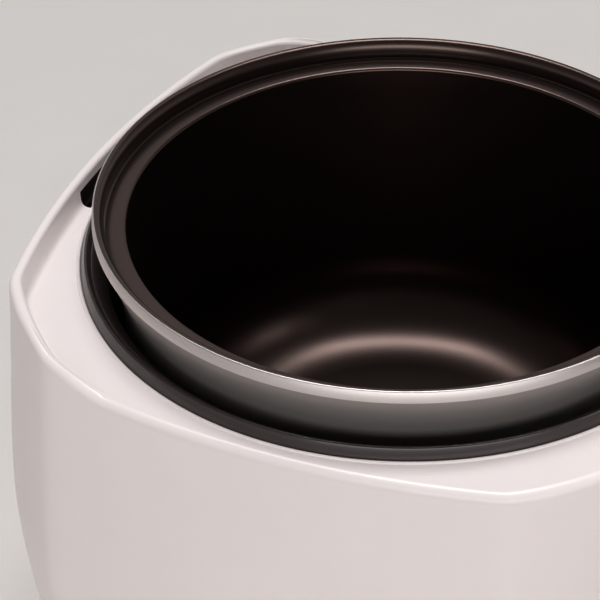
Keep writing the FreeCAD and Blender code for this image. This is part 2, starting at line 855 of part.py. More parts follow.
def coil(radius, wire, turns, length):
    """A round-wire coil up the Z axis as one tube, on two arcs to each quarter turn. Prints its least gap."""
    steps = int(round(turns * 4))
    rise = length / steps
    quarter = radius * math.pi / 2

    def spot(n):
        angle = math.pi / 2 * n
        return FreeCAD.Vector(radius * math.cos(angle), radius * math.sin(angle), rise * n)

    def way(n):
        angle = math.pi / 2 * n
        return FreeCAD.Vector(-quarter * math.sin(angle), quarter * math.cos(angle), rise).normalize()

    ring = Part.makeCircle(wire, spot(0), way(0))
    faces = [Part.Face(Part.Wire(ring))]
    for n in range(steps):
        start, end, leave, arrive = spot(n), spot(n + 1), way(n), way(n + 1)
        chord = end - start
        both = leave + arrive
        spread = 2 * (1 - leave.dot(arrive))
        reach = (-chord.dot(both) + math.sqrt(chord.dot(both) ** 2 + spread * chord.dot(chord))) / spread
        first_knee = start + leave * reach
        second_knee = end - arrive * reach
        joint = (first_knee + second_knee) * 0.5
        onward = (second_knee - first_knee).normalize()
        for arc in ((start, leave, joint), (joint, onward, end)):
            centre, axis, angle = bend(*arc)
            faces.append(ring.revolve(centre, axis, angle))
            ring = ring.rotated(centre, axis, angle)
    faces.append(Part.Face(Part.Wire(ring)))
    shell = Part.Shell(faces)
    shell.sewShape()
    print("least gap between turns", round(length / turns - 2 * wire, 2))
    return Part.Solid(shell)


spring_room = value(f"{POT_BOTTOM} - sensor_wall - {BRACKET_TOP}") - 2 * value("spring_wire")
sensor_spring = doc.addObject("Part::Feature", "sensor_coil")
sensor_spring.Shape = coil(value("spring_radius"), value("spring_wire"), value("spring_turns"), spring_room)
sensor_spring.Placement.Base.z = value(BRACKET_TOP) + value("spring_wire")
piece(sensor_spring, "sensor_spring")

# Base: a vented plate inside the shell's lower edge, on four rubber feet, held by four screws

BASE_TOP = "(shell_bottom + base_thickness)"
base_blank = extruded(
    "base_blank", plan("base_plan", "bottom_swell - shell_wall - base_gap", "shell_bottom"), "base_thickness")


def vent(n):
    """A slot with round ends, in the row under the heater."""
    y = f"vent_pitch * ({n} - (vent_count - 1) / 2)"
    corners = [
        ("-vent_length / 2", f"{y} - vent_width / 2"),
        ("vent_length / 2", f"{y} - vent_width / 2", "vent_width / 2 + round_slack"),
        ("vent_length / 2", f"{y} + vent_width / 2"),
        ("-vent_length / 2", f"{y} + vent_width / 2", "vent_width / 2 + round_slack"),
    ]
    return extruded(f"vent_{n}", outline(f"vent_{n}_face", corners, "XY", "shell_bottom"), "base_thickness")


vents = [vent(n) for n in range(int(value("vent_count")))]
base_screw_holes = [
    rod(f"base_hole_{n}", "screw_radius + screw_gap", "base_thickness", f"boss_circle * cos({a})",
        f"boss_circle * sin({a})", "shell_bottom")
    for n, a in enumerate(CORNERS)
]
base_head_holes = [
    rod(f"base_recess_{n}", "screw_head_radius + screw_gap", "screw_head", f"boss_circle * cos({a})",
        f"boss_circle * sin({a})", "shell_bottom")
    for n, a in enumerate(CORNERS)
]


def foot_hole(label, x, y):
    return rod(label, "foot_peg + foot_gap", "base_thickness", x, y, "shell_bottom")


def foot(label, x, y):
    """A rubber foot: a round pad under the plate and a peg pressed up through it."""
    pad = rod(label + "_pad", "foot_radius", "shell_bottom", x, y, 0)
    low_edge = rounded(label + "_round", pad, "foot_round", lambda edge: edge.BoundBox.ZMax < 0.1)
    peg = rod(label + "_peg", "foot_peg", f"{BASE_TOP} - foot_round", x, y, "foot_round")
    return fuse(label, low_edge, peg)


foot_holes = around("foot_hole", "foot_circle", 4, foot_hole, first=45)
piece(cut("base", base_blank, *vents, *base_screw_holes, *base_head_holes, *foot_holes), "base_plate")
piece(group("feet", *around("foot", "foot_circle", 4, foot, first=45)), "rubber_feet")


def base_screw(label, x, y):
    head = rod(label + "_head", "screw_head_radius", "screw_head", x, y, "shell_bottom")
    return fuse(label, head, rod(label + "_shank", "screw_radius", "screw_length", x, y, "shell_bottom"))


piece(group("screws", *around("base_screw", "boss_circle", 4, base_screw, first=45)), "base_screws")

# Power board: a circuit board on four posts, with its relay, coil and capacitor

BOARD_LOW = f"({BASE_TOP} + power_lift)"
BOARD_TOP = f"({BOARD_LOW} + board_sheet)"
power_sheet = block(
    "power_sheet",
    ("-power_width / 2", "power_width / 2"),
    ("power_setback - power_deep / 2", "power_setback + power_deep / 2"),
    (BOARD_LOW, BOARD_TOP),
)
post_out = "(power_width / 2 - power_post_inset)"
post_back = "(power_deep / 2 - power_post_inset)"
power_posts = [
    rod(f"power_post_{n}", "power_post", "power_lift",
        f"{sx} * {post_out}", f"power_setback + {sy} * {post_back}", BASE_TOP)
    for n, (sx, sy) in enumerate((sx, sy) for sx in (-1, 1) for sy in (-1, 1))
]


def board_block(label, offset, side, tall):
    """A square component on the power board."""
    return block(
        label,
        (f"{offset} - {side} / 2", f"{offset} + {side} / 2"),
        (f"power_setback - {side} / 2", f"power_setback + {side} / 2"),
        (BOARD_TOP, f"{BOARD_TOP} + {tall}"),
    )


relay = board_block("relay", "-relay_offset", "relay_side", "relay_tall")
choke = board_block("choke", "choke_offset", "choke_side", "choke_tall")
capacitor = rod("capacitor", "capacitor_radius", "capacitor_tall", 0, "power_setback", BOARD_TOP)
piece(fuse("power", power_sheet, *power_posts, relay, choke, capacitor), "power_board")

# Power inlet: a socket in the rear wall, with two pins in its recess

INLET_BACK = f"({REAR_REACH} + inlet_proud)"
INLET_IN = f"({INLET_BACK} - inlet_length)"
INLET_X = ("inlet_side - inlet_width / 2", "inlet_side + inlet_width / 2")
inlet_body = block("inlet_body", INLET_X, (INLET_IN, INLET_BACK), (INLET_LOW, INLET_HIGH))
inlet_flange = block(
    "inlet_flange_plate",
    (f"{INLET_X[0]} - inlet_flange", f"{INLET_X[1]} + inlet_flange"),
    (f"{INLET_BACK} - inlet_setback - inlet_flange_sheet", f"{INLET_BACK} - inlet_setback"),
    (f"{INLET_LOW} - inlet_flange", f"{INLET_HIGH} + inlet_flange"),
)
inlet_recess = block(
    "inlet_recess",
    (f"{INLET_X[0]} + inlet_wall", f"{INLET_X[1]} - inlet_wall"),
    (f"{INLET_IN} + inlet_wall", f"{INLET_BACK} + 1"),
    (f"{INLET_LOW} + inlet_wall", f"{INLET_HIGH} - inlet_wall"),
)
piece(cut("inlet", fuse("inlet_blank", inlet_body, inlet_flange), inlet_recess), "power_inlet")
piece(group("inlet_pin_pair", *[
    rod(f"inlet_pin_{n}", "pin_radius", "pin_length", f"inlet_side + {side} * pin_spread / 2",
        f"{INLET_IN} + inlet_wall", "inlet_height", "Y")
    for n, side in enumerate((-1, 1))
]), "inlet_pins")

# Control panel: a dark fascia that follows the housing's front, with a flange behind the window

face_form = housing_form("face_form", "panel_proud", LIP_TOP)
flange_form = housing_form("flange_form", "-shell_wall - panel_gap", "deck_height - deck_wall")
back_form = housing_form("back_form", "-shell_wall - panel_gap - panel_sheet", "deck_height - deck_wall")
panel_face = common("panel_face", cut("face_skin", face_form, back_form), panel_outline("panel_core", "0"))
rim_window = panel_outline("panel_rim_window", "panel_flange")
panel_rim = common("panel_rim", cut("flange_skin", flange_form, back_form), rim_window)

BOARD_FACE = f"({BELLY_REACH} - board_setback)"
studs = [
    rod(f"panel_stud_{n}", "stud_radius", "board_setback - shell_wall",
        x, f"-{BELLY_REACH} + shell_wall", z, "Y")
    for n, (x, z) in enumerate(
        (f"{sx} * (panel_width / 2 - stud_inset)", f"panel_height + {sz} * (panel_tall / 2 - board_margin)")
        for sx in (-1, 1) for sz in (-1, 1))
]
button_holes = [
    rod(f"button_hole_{n}", "button_radius + button_gap", FAR,
        f"{side} * button_spread", -FAR, "panel_height", "Y")
    for n, side in enumerate((-1, 1))
]
lens_holes = [
    rod(f"lens_hole_{n}", "lens_radius + lens_gap", FAR, f"{side} * lens_spread", -FAR, "panel_height", "Y")
    for n, side in enumerate((-1, 1))
]
panel_blank = fuse("panel_blank", panel_face, panel_rim, *studs)
piece(cut("panel", panel_blank, *button_holes, *lens_holes), "control_panel")


def push_button(label, side):
    """A round button: cap, retaining flange behind the fascia, and a stem that ends over its switch."""
    x = f"{side} * button_spread"
    face = f"-{BELLY_REACH} - button_proud"
    cap = rod(label + "_cap", "button_radius", "button_length", x, face, "panel_height", "Y")
    front = value(f"{face} + button_round")
    crown = rounded(label + "_crown", cap, "button_round", lambda edge: edge.BoundBox.YMax < front)
    flange = rod(label + "_flange", "button_flange", "button_flange_sheet", x,
                 f"{face} + button_length - button_flange_sheet", "panel_height", "Y")
    reach = f"{BOARD_FACE} + switch_tall + button_travel + panel_gap"
    stem = rod(label + "_stem", "button_stem", f"{BELLY_REACH} + button_proud - ({reach})", x, face,
               "panel_height", "Y")
    return fuse(label, crown, flange, stem)


piece(push_button("cook", -1), "cook_button")
piece(push_button("warm", 1), "warm_button")
piece(group("lenses", *[
    rod(f"lens_{n}", "lens_radius", "lens_length", f"{side} * lens_spread", f"-{BELLY_REACH} - panel_proud",
        "panel_height", "Y")
    for n, side in enumerate((-1, 1))
]), "lamp_lenses")

# Panel board: a circuit board on the fascia's studs, with a switch behind each button

board_sheet = block(
    "board_plate",
    ("-panel_width / 2 + board_margin", "panel_width / 2 - board_margin"),
    (f"-{BOARD_FACE}", f"-{BOARD_FACE} + board_sheet"),
    ("panel_height - panel_tall / 2", "panel_height + panel_tall / 2"),
)
switches = [
    block(f"switch_{n}",
          (f"{side} * button_spread - switch_side / 2", f"{side} * button_spread + switch_side / 2"),
          (f"-{BOARD_FACE} - switch_tall", f"-{BOARD_FACE}"),
          ("panel_height - switch_side / 2", "panel_height + switch_side / 2"))
    for n, side in enumerate((-1, 1))
]
piece(fuse("board", board_sheet, *switches), "panel_board")

# Hinge pin and torsion spring, in the shell's ears

piece(rod("pin", "hinge_pin_radius", "2 * (ear_inside + ear_width)", "-ear_inside - ear_width", "hinge_back",
          HINGE_Z, "X"), "hinge_pin")
hinge_coil = doc.addObject("Part::Feature", "hinge_coil")
hinge_coil.Shape = coil(value("coil_radius"), value("coil_wire"), value("coil_turns"), value("coil_length"))
hinge_coil.Placement = FreeCAD.Placement(
    FreeCAD.Vector(-value("coil_length") / 2, value("hinge_back"), value(HINGE_Z)), AXIS["X"])
piece(hinge_coil, "hinge_spring")

# Lid forms, drawn closed: each finished piece is then swung open about the hinge

LID_TOP = "deck_height + lid_tall"


def lid_form(label, offset):
    """The lid's dome, offset from its outer face, from the deck up.

    Each level has its height, its swell, and the share of the offset that also moves it up or down.
    """
    levels = [
        ("deck_height", "0", 0),
        ("deck_height + shoulder_height", "shoulder_swell", 0.2),
        ("deck_height + brow_height", "brow_swell", 0.6),
        ("deck_height + crown_height", "crown_swell", 0.9),
        (LID_TOP, "top_swell", 1),
    ]
    sections = [
        plan(f"{label}_{n}", f"{swell} + ({offset})", f"{level} + ({offset}) * {share}")
        for n, (level, swell, share) in enumerate(levels)
    ]
    return loft(label, sections)


def lid_piece(item, label):
    """A finished lid piece, swung open."""
    centre = FreeCAD.Vector(0, value("hinge_back"), value(HINGE_Z))
    swing = FreeCAD.Rotation(FreeCAD.Vector(1, 0, 0), -value("open_angle"))
    opened = FreeCAD.Placement(FreeCAD.Vector(), swing, centre)
    item.Placement = opened.multiply(item.Placement)
    return piece(item, label)


def slab(label, low, high):
    """A level slice of everything."""
    return block(label, (-FAR, FAR), (-FAR, FAR), (low, high))


lid_outer = lid_form("lid_outer", "0")
lid_inner = lid_form("lid_inner", "-lid_wall")
lid_space = above_deck("lid_space", "parting_gap")

# Lid shell: a domed white moulding with two hinge knuckles, the steam hole and the latch window


def knuckle(label, start, end):
    width = f"({end}) - ({start})"
    barrel = rod(label + "_barrel", "knuckle_radius", width, start, "hinge_back", HINGE_Z, "X")
    web = block(label + "_web", (start, end), (f"{REAR_REACH} - lid_wall", "hinge_back"),
                (HINGE_Z, f"{HINGE_Z} + knuckle_radius"))
    return fuse(label, barrel, web)


knuckles = [
    knuckle("right_knuckle", "knuckle_split", "ear_inside - knuckle_gap"),
    knuckle("left_knuckle", "-ear_inside + knuckle_gap", "-knuckle_split"),
]
ear_notches = [
    rod(f"ear_notch_{n}", "ear_radius + notch_gap", "ear_width + 2 * knuckle_gap",
        start, "hinge_back", HINGE_Z, "X")
    for n, start in enumerate(("ear_inside - knuckle_gap", "-ear_inside - ear_width - knuckle_gap"))
]
knuckle_hole = rod("knuckle_hole", "hinge_pin_radius + hinge_fit", 2 * FAR, -FAR, "hinge_back", HINGE_Z, "X")
steam_hole = rod("steam_hole", "steam_tube + steam_gap", HIGH, 0, "steam_setback", 0)
LATCH_LOW = "deck_height + latch_low"
LATCH_HIGH = "deck_height + latch_high"


def latch_window(label, gap):
    """The latch button's window in the lid's front."""
    return block(
        label,
        (f"-latch_width / 2 + {gap}", f"latch_width / 2 - {gap}"),
        (-FAR, f"-{FRONT_REACH} + latch_depth"),
        (f"{LATCH_LOW} + {gap}", f"{LATCH_HIGH} - {gap}"),
    )


lid_skin = cut("lid_skin", common("lid_closed", lid_outer, lid_space), lid_inner)
lid_notched = cut("lid_notched", lid_skin, *ear_notches)
lid_knuckled = fuse("lid_knuckled", lid_notched, *knuckles)
lid_piece(cut("lid", lid_knuckled, knuckle_hole, steam_hole, latch_window("latch_opening", "0")), "lid_shell")

# Lid liner: the inner cover, with a skirt inside the front lip and room for the collar and the pot's rim

CEILING = f"({RIM_TOP} + rim_headroom)"
LINER_LOW = "deck_height + parting_gap"
cover_form = lid_form("cover_form", "-lid_wall - liner_gap")
cover_slab = slab("cover_slab", "deck_height", f"{CEILING} + lid_floor")
cover_rim = common("cover_rim", cover_form, lid_space, cover_slab)
cover_skirt = extruded("cover_skirt", plan("skirt_plan", "-skirt_inset", LINER_LOW), "lip_rise + parting_gap")
rim_room = extruded("rim_room", plan("room_plan", "-room_inset", "deck_height"), f"{CEILING} - deck_height")
cover_walls = cut("cover_walls", fuse("cover_blank", cover_rim, cover_skirt), rim_room)
collar_room = rod("collar_room", "collar_radius + collar_clearance", "collar_ridge_height + collar_headroom",
                  0, 0, "deck_height")

# The hook hangs in a channel in the liner's front, and its pin lies in two bosses over the channel's sides

HOOK_FRONT = f"({SLOT_BACK} - catch_wall - keeper_depth - hook_gap - hook_toe)"
HOOK_CHANNEL = f"({HOOK_FRONT} - hook_sheet - hook_back_gap)"
LATCH_REACH = f"({HOOK_FRONT} - latch_pin_setback)"
LATCH_Z = "deck_height + latch_pin_rise"
CHANNEL_HALF = "(hook_width / 2 + hook_side_gap)"
LATCH_PIN_HALF = f"({CHANNEL_HALF} + latch_pin_grip)"
BOSS_END = f"({LATCH_PIN_HALF} + latch_boss_wall)"
channel_case = block(
    "channel_case",
    (f"-{CHANNEL_HALF} - channel_wall", f"{CHANNEL_HALF} + channel_wall"),
    (f"-{FRONT_REACH} + room_inset - channel_wall", f"-{HOOK_CHANNEL} + channel_wall"),
    (LINER_LOW, CEILING),
)
pin_bosses = common("pin_bosses", cover_form, block(
    "pin_boss_block",
    (f"-{BOSS_END}", BOSS_END),
    (-FAR, f"-{LATCH_REACH} + latch_room"),
    (CEILING, f"{LATCH_Z} + latch_room"),
))
latch_channel = block(
    "latch_channel",
    (f"-{CHANNEL_HALF}", CHANNEL_HALF),
    (-FAR, f"-{HOOK_CHANNEL}"),
    ("deck_height", HIGH),
)
latch_hollow = block(
    "latch_hollow",
    (f"-{CHANNEL_HALF}", CHANNEL_HALF),
    (-FAR, f"-{LATCH_REACH} + latch_room"),
    (f"{LATCH_Z} - latch_room", HIGH),
)
latch_bore = rod("latch_bore", "latch_pin_radius + latch_fit", f"2 * {LATCH_PIN_HALF}",
                 f"-{LATCH_PIN_HALF}", f"-{LATCH_REACH}", LATCH_Z, "X")
cover_full = fuse("cover_full", cover_walls, channel_case, pin_bosses)
cover = cut("cover", cover_full, collar_room, steam_hole, latch_channel, latch_hollow, latch_bore)
lid_piece(cover, "lid_liner")

# Inner lid: a dished metal disc with a ring of steam holes, under the liner's ceiling

DISH_LOW = f"({CEILING} - inner_lid_dish - inner_lid_sheet)"
DISH_RADIUS = "(inner_lid_radius - inner_lid_rim - inner_lid_slope)"
inner_disc = turned("inner_disc", [
    (0, DISH_LOW),
    (DISH_RADIUS, DISH_LOW),
    ("inner_lid_radius - inner_lid_rim", f"{CEILING} - inner_lid_sheet"),
    ("inner_lid_radius", f"{CEILING} - inner_lid_sheet"),
    ("inner_lid_radius", CEILING),
    ("inner_lid_radius - inner_lid_rim", CEILING),
    (DISH_RADIUS, f"{CEILING} - inner_lid_dish"),
    (0, f"{CEILING} - inner_lid_dish"),
])


def disc_hole(label, x, y):
    return rod(label, "steam_hole / 2", HIGH, x, f"{y} + steam_setback")


disc_holes = around("disc_hole", "steam_hole_circle", int(value("steam_hole_count")), disc_hole)
lid_piece(cut("inner_disc_holed", inner_disc, *disc_holes), "inner_lid")

# Gasket: a soft ring round the inner lid, whose lip closes on the pot's rim

GASKET_FLAT = f"({CEILING} - gasket_sheet)"
gasket = turned("gasket", [
    ("gasket_inner", GASKET_FLAT),
    ("gasket_lip_radius - gasket_lip_width / 2", GASKET_FLAT),
    ("gasket_lip_radius - gasket_lip_width / 2", f"{RIM_TOP} + gasket_gap"),
    ("gasket_lip_radius + gasket_lip_width / 2", f"{RIM_TOP} + gasket_gap"),
    ("gasket_lip_radius + gasket_lip_width / 2", GASKET_FLAT),
    ("gasket_outer", GASKET_FLAT),
    ("gasket_outer", CEILING),
    ("gasket_inner", CEILING),
])
lid_piece(gasket, "lid_gasket")

# Steam cap: a round cap on the lid's top, on a tube that leads down through the liner

cap_disc = rod("cap_disc", "steam_radius", "steam_proud", 0, "steam_setback", LID_TOP)
cap_round = rounded("cap_round", cap_disc, "steam_round",
                    lambda edge: edge.BoundBox.ZMin > value(f"{LID_TOP} + steam_proud") - 0.1)
cap_tube = rod("cap_tube", "steam_tube", f"{LID_TOP} - {CEILING}", 0, "steam_setback", CEILING)
cap_bore = rod("cap_bore", "steam_bore", f"{LID_TOP} - {CEILING}", 0, "steam_setback", CEILING)
cap_slot = block(
    "cap_slot",
    ("-steam_slot / 2", "steam_slot / 2"),
    ("steam_setback - steam_slot_width / 2", "steam_setback + steam_slot_width / 2"),
    (f"{LID_TOP} - 1", HIGH),
)
lid_piece(cut("cap", fuse("cap_blank", cap_round, cap_tube), cap_bore, cap_slot), "steam_cap")

# Latch: a button in the lid's front that swings a hook on a pin, with a leaf spring behind it

button_form = lid_form("button_form", "latch_proud")
button_window = latch_window("button_window", "latch_gap")
button_skin = common("button_skin", cut("button_blank", button_form, lid_inner), button_window)
HOOK_X = ("-hook_width / 2", "hook_width / 2")
HOOK_LOW = "deck_height - hook_drop"
latch_eye = rod("latch_eye", "latch_eye", "hook_width", "-hook_width / 2", f"-{LATCH_REACH}", LATCH_Z, "X")
latch_web = block("latch_web", HOOK_X, (f"-{HOOK_FRONT}", f"-{LATCH_REACH}"),
                  (f"{LATCH_Z} - latch_eye", f"{LATCH_HIGH} - latch_gap"))
hook_plate = block("hook_plate", HOOK_X, (f"-{HOOK_FRONT}", f"-{HOOK_FRONT} + hook_sheet"),
                   (HOOK_LOW, LATCH_Z))
hook_toe = block("hook_toe", HOOK_X, (f"-{HOOK_FRONT} - hook_toe", f"-{HOOK_FRONT}"),
                 (HOOK_LOW, f"{HOOK_LOW} + hook_toe_tall"))
eye_hole = rod("eye_hole", "latch_pin_radius + latch_fit", 2 * FAR, -FAR, f"-{LATCH_REACH}", LATCH_Z, "X")
latch_blank = fuse("latch_blank", button_skin, latch_eye, latch_web, hook_plate, hook_toe)
lid_piece(cut("latch", latch_blank, eye_hole), "latch_button")
latch_rod = rod("latch_rod", "latch_pin_radius", f"2 * {LATCH_PIN_HALF}",
                f"-{LATCH_PIN_HALF}", f"-{LATCH_REACH}", LATCH_Z, "X")
lid_piece(group("latch_rods", latch_rod), "latch_pin")

LEAF_TIP = f"-{HOOK_FRONT} + hook_sheet + leaf_gap"
LEAF_TOP = f"({LATCH_Z} - leaf_drop)"
leaf_side = outline("leaf_side", [
    (f"-{HOOK_CHANNEL}", f"{LEAF_TOP} - leaf_length"),
    (f"{LEAF_TIP} + leaf_sheet", LEAF_TOP),
    (LEAF_TIP, LEAF_TOP),
    (f"-{HOOK_CHANNEL} - leaf_sheet", f"{LEAF_TOP} - leaf_length"),
], "YZ")
lid_piece(group("leaf_springs", extruded("leaf", leaf_side, "leaf_width", both_ways=True)), "latch_spring")

# Every object is checked before anything is written

doc.recompute()
for item in doc.Objects:
    if "Invalid" in item.State or "Error" in item.State:
        raise RuntimeError(f"{item.Label} failed: {item.State}")
for item in pieces:
    if item.Shape.isNull() or not item.Shape.isValid():
        raise RuntimeError(f"{item.Label} has no sound shape")

# The files' origin lies on the worktop, under the middle of the cooker and its open lid

boxes = [item.Shape.optimalBoundingBox(False) for item in pieces]
middle = (min(box.YMin for box in boxes) + max(box.YMax for box in boxes)) / 2
os.makedirs("parts", exist_ok=True)
for item in pieces:
    written = item.Shape.copy()
    written.translate(FreeCAD.Vector(0, -middle, 0))
    written.exportStep(os.path.join("parts", item.Label + ".step"))
print("pieces written", len(pieces), "about a middle", round(middle, 3), "behind the pot's axis")
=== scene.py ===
import json
import math

import bmesh
import bpy
from mathutils import Matrix, Vector
from mathutils.geometry import interpolate_bezier


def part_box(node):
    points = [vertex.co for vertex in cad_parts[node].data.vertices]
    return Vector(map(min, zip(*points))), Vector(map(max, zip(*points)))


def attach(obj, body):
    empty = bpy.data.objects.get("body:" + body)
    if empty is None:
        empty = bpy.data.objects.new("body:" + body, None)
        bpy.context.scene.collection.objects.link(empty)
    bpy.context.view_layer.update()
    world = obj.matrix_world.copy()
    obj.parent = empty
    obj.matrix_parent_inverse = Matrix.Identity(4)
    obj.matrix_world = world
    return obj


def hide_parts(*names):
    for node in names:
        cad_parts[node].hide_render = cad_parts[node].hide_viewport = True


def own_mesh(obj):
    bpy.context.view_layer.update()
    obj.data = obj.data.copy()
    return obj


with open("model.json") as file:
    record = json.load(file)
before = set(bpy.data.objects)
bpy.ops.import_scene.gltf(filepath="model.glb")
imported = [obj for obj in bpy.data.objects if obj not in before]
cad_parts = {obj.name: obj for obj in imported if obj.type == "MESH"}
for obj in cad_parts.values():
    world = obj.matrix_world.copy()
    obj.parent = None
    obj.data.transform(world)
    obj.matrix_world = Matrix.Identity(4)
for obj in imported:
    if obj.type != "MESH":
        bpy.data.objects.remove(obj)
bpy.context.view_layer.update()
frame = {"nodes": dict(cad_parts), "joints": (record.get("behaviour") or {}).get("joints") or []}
nodes = frame["nodes"]

# Viewpoint: close over the cooker's right side, a little to the rear, looking down into the open pot.
# The lid stands open on the rear side, just outside the picture.

MM = 0.001
pot_low, pot_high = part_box("inner_pot")
axis_y = (pot_low.y + pot_high.y) / 2
rim_top = pot_high.z / MM
rim_centre = Vector((0, axis_y, pot_high.z))
camera_bearing, camera_height = 111.5, 34.34
camera_distance = 651.45 * MM
heading = math.radians(114.81)
down_tilt = math.radians(37.08)
roll = math.radians(-0.96)


def way_out(bearing, height):
    """The way out from the rim's centre at a bearing and a height, both in degrees.

    The bearing is counted from the cooker's front, round by its right side.
    """
    turn, rise = math.radians(bearing), math.radians(height)
    return Vector((math.sin(turn) * math.cos(rise), -math.cos(turn) * math.cos(rise), math.sin(rise)))


camera_data = bpy.data.cameras.new("close_view")
camera_data.sensor_width = 36
camera_data.lens = 132
camera = bpy.data.objects.new("close_view", camera_data)
bpy.context.scene.collection.objects.link(camera)
bpy.context.scene.camera = camera
camera.matrix_world = (
    Matrix.Translation(rim_centre + way_out(camera_bearing, camera_height) * camera_distance)
    @ Matrix.Rotation(heading, 4, "Z")
    @ Matrix.Rotation(math.pi / 2 - down_tilt, 4, "X")
    @ Matrix.Rotation(roll, 4, "Z")
)
bpy.context.scene.view_settings.view_transform = "Standard"

# Studio: a pale painted board under the cooker, which catches its shadow, and three soft lamps.
# One is overhead, one across from the camera and one beside it. The pale surround is brightest low down.

cloud_size = 40.0


def linear(colour):
    """A colour written as sRGB hex, as the linear values that a shader takes."""
    shares = [int(colour[n:n + 2], 16) / 255 for n in (1, 3, 5)]
    return [s / 12.92 if s <= 0.04045 else ((s + 0.055) / 1.055) ** 2.4 for s in shares] + [1.0]


def node(tree, kind, inputs=None, **settings):
    """Add a node: settings are its own properties, inputs are plain values or the sockets that feed it."""
    added = tree.nodes.new(kind)
    for name, setting in settings.items():
        setattr(added, name, setting)
    for name, source in (inputs or {}).items():
        if isinstance(source, bpy.types.NodeSocket):
            tree.links.new(source, added.inputs[name])
        else:
            added.inputs[name].default_value = source
    return added


def blank_material(name):
    """A new material, its empty node tree, and the place on the piece that its patterns follow."""
    material = bpy.data.materials.new(name)
    material.use_nodes = True
    tree = material.node_tree
    tree.nodes.clear()
    return material, tree, node(tree, "ShaderNodeTexCoord").outputs["Object"]


def surface(tree, tone, colours, sheen, roughness, spread, bumps, relief, metallic=0.0):
    """Make a material's surface out of three patterns.

    tone mixes two linear colours, sheen varies the roughness either way by spread, a share of it, and bumps
    stand up by relief, in millimetres.
    """
    tint = node(tree, "ShaderNodeMix", {0: tone, 6: colours[0], 7: colours[1]}, data_type="RGBA")
    gloss = node(tree, "ShaderNodeMapRange", {
        "Value": sheen, "To Min": roughness * (1 - spread), "To Max": roughness * (1 + spread)})
    bump = node(tree, "ShaderNodeBump", {"Height": bumps, "Strength": 1.0, "Distance": relief * MM})
    shader = node(tree, "ShaderNodeBsdfPrincipled", {
        "Base Color": tint.outputs[2], "Metallic": metallic, "Roughness": gloss.outputs["Result"],
        "Normal": bump.outputs["Normal"]})
    node(tree, "ShaderNodeOutputMaterial", {"Surface": shader.outputs["BSDF"]})


def moulded(name, colour, shade, roughness, grain, relief):
    """Moulded plastic or rubber: a faintly clouded colour, and the mould's grain in gloss and relief.

    The grain's size and relief are in millimetres.
    """
    material, tree, place = blank_material(name)
    cloud = node(tree, "ShaderNodeTexNoise", {"Vector": place, "Scale": 1 / (cloud_size * MM), "Detail": 3.0})
    fine = node(tree, "ShaderNodeTexNoise", {"Vector": place, "Scale": 1 / (grain * MM), "Detail": 2.0})
    surface(
        tree, tone=cloud.outputs["Fac"], colours=(linear(colour), linear(shade)), sheen=fine.outputs["Fac"],
        roughness=roughness, spread=0.15, bumps=fine.outputs["Fac"], relief=relief)
    return material


def dress(piece, material):
    """Give a piece one material."""
    piece.data.materials.clear()
    piece.data.materials.append(material)


board_half = 2.5
board_corners = [(x * board_half, y * board_half, 0) for x, y in ((-1, -1), (1, -1), (1, 1), (-1, 1))]
board_data = bpy.data.meshes.new("painted_board")
board_data.from_pydata(board_corners, [], [(0, 1, 2, 3)])
board = bpy.data.objects.new("painted_board", board_data)
bpy.context.scene.collection.objects.link(board)
dress(board, moulded(
    "matt paint, rolled on board", "#D8D4D1", "#D3CECB", roughness=0.6, grain=1.5, relief=0.05))


def softbox(name, bearing, height, distance, width, tall, energy):
    """A lamp at a bearing and a height, in degrees, and a distance from the rim's centre, facing it."""
    lamp_data = bpy.data.lights.new(name, "AREA")
    lamp_data.shape = "RECTANGLE"
    lamp_data.size = width
    lamp_data.size_y = tall
    lamp_data.energy = energy
    lamp = bpy.data.objects.new(name, lamp_data)
    way = way_out(bearing, height)
    facing = way.to_track_quat("Z", "Y").to_matrix().to_4x4()
    lamp.matrix_world = Matrix.Translation(rim_centre + way * distance) @ facing
    bpy.context.scene.collection.objects.link(lamp)


across_bearing = camera_bearing + 180
softbox("overhead_softbox", across_bearing, height=73, distance=1.4, width=0.8, tall=0.5, energy=17)
softbox("far_softbox", across_bearing, height=36, distance=2.0, width=2.4, tall=0.7, energy=2.5)
softbox("side_softbox", bearing=120, height=17, distance=1.8, width=2.4, tall=0.6, energy=18)

# The surround fades between two heights, each given as the sine of its angle over the horizon
fade_low, fade_high = 0.1, 0.5
horizon_light, overhead_light = 0.75, 0.12
world = bpy.data.worlds.new("pale_surround")
world.use_nodes = True
sky = world.node_tree
sky.nodes.clear()
light_way = node(sky, "ShaderNodeTexCoord").outputs["Generated"]
light_height = node(sky, "ShaderNodeSeparateXYZ", {"Vector": light_way}).outputs["Z"]
fade = node(sky, "ShaderNodeMapRange", {
    "Value": light_height, "From Min": fade_low, "From Max": fade_high,
    "To Min": horizon_light, "To Max": overhead_light})
surround = node(sky, "ShaderNodeBackground", {
    "Color": linear("#F3F0EE"), "Strength": fade.outputs["Result"]})
node(sky, "ShaderNodeOutputWorld", {"Surface": surround.outputs["Background"]})
bpy.context.scene.world = world

# Base: a dark vented plate of moulded plastic that closes the housing from below.
# Four rubber feet are pressed through it, and four steel screws hold it to the housing's bosses.


def darker(colour, share):
    """A colour with a share of its light, as linear values."""
    return [c * share for c in linear(colour)[:3]] + [1.0]


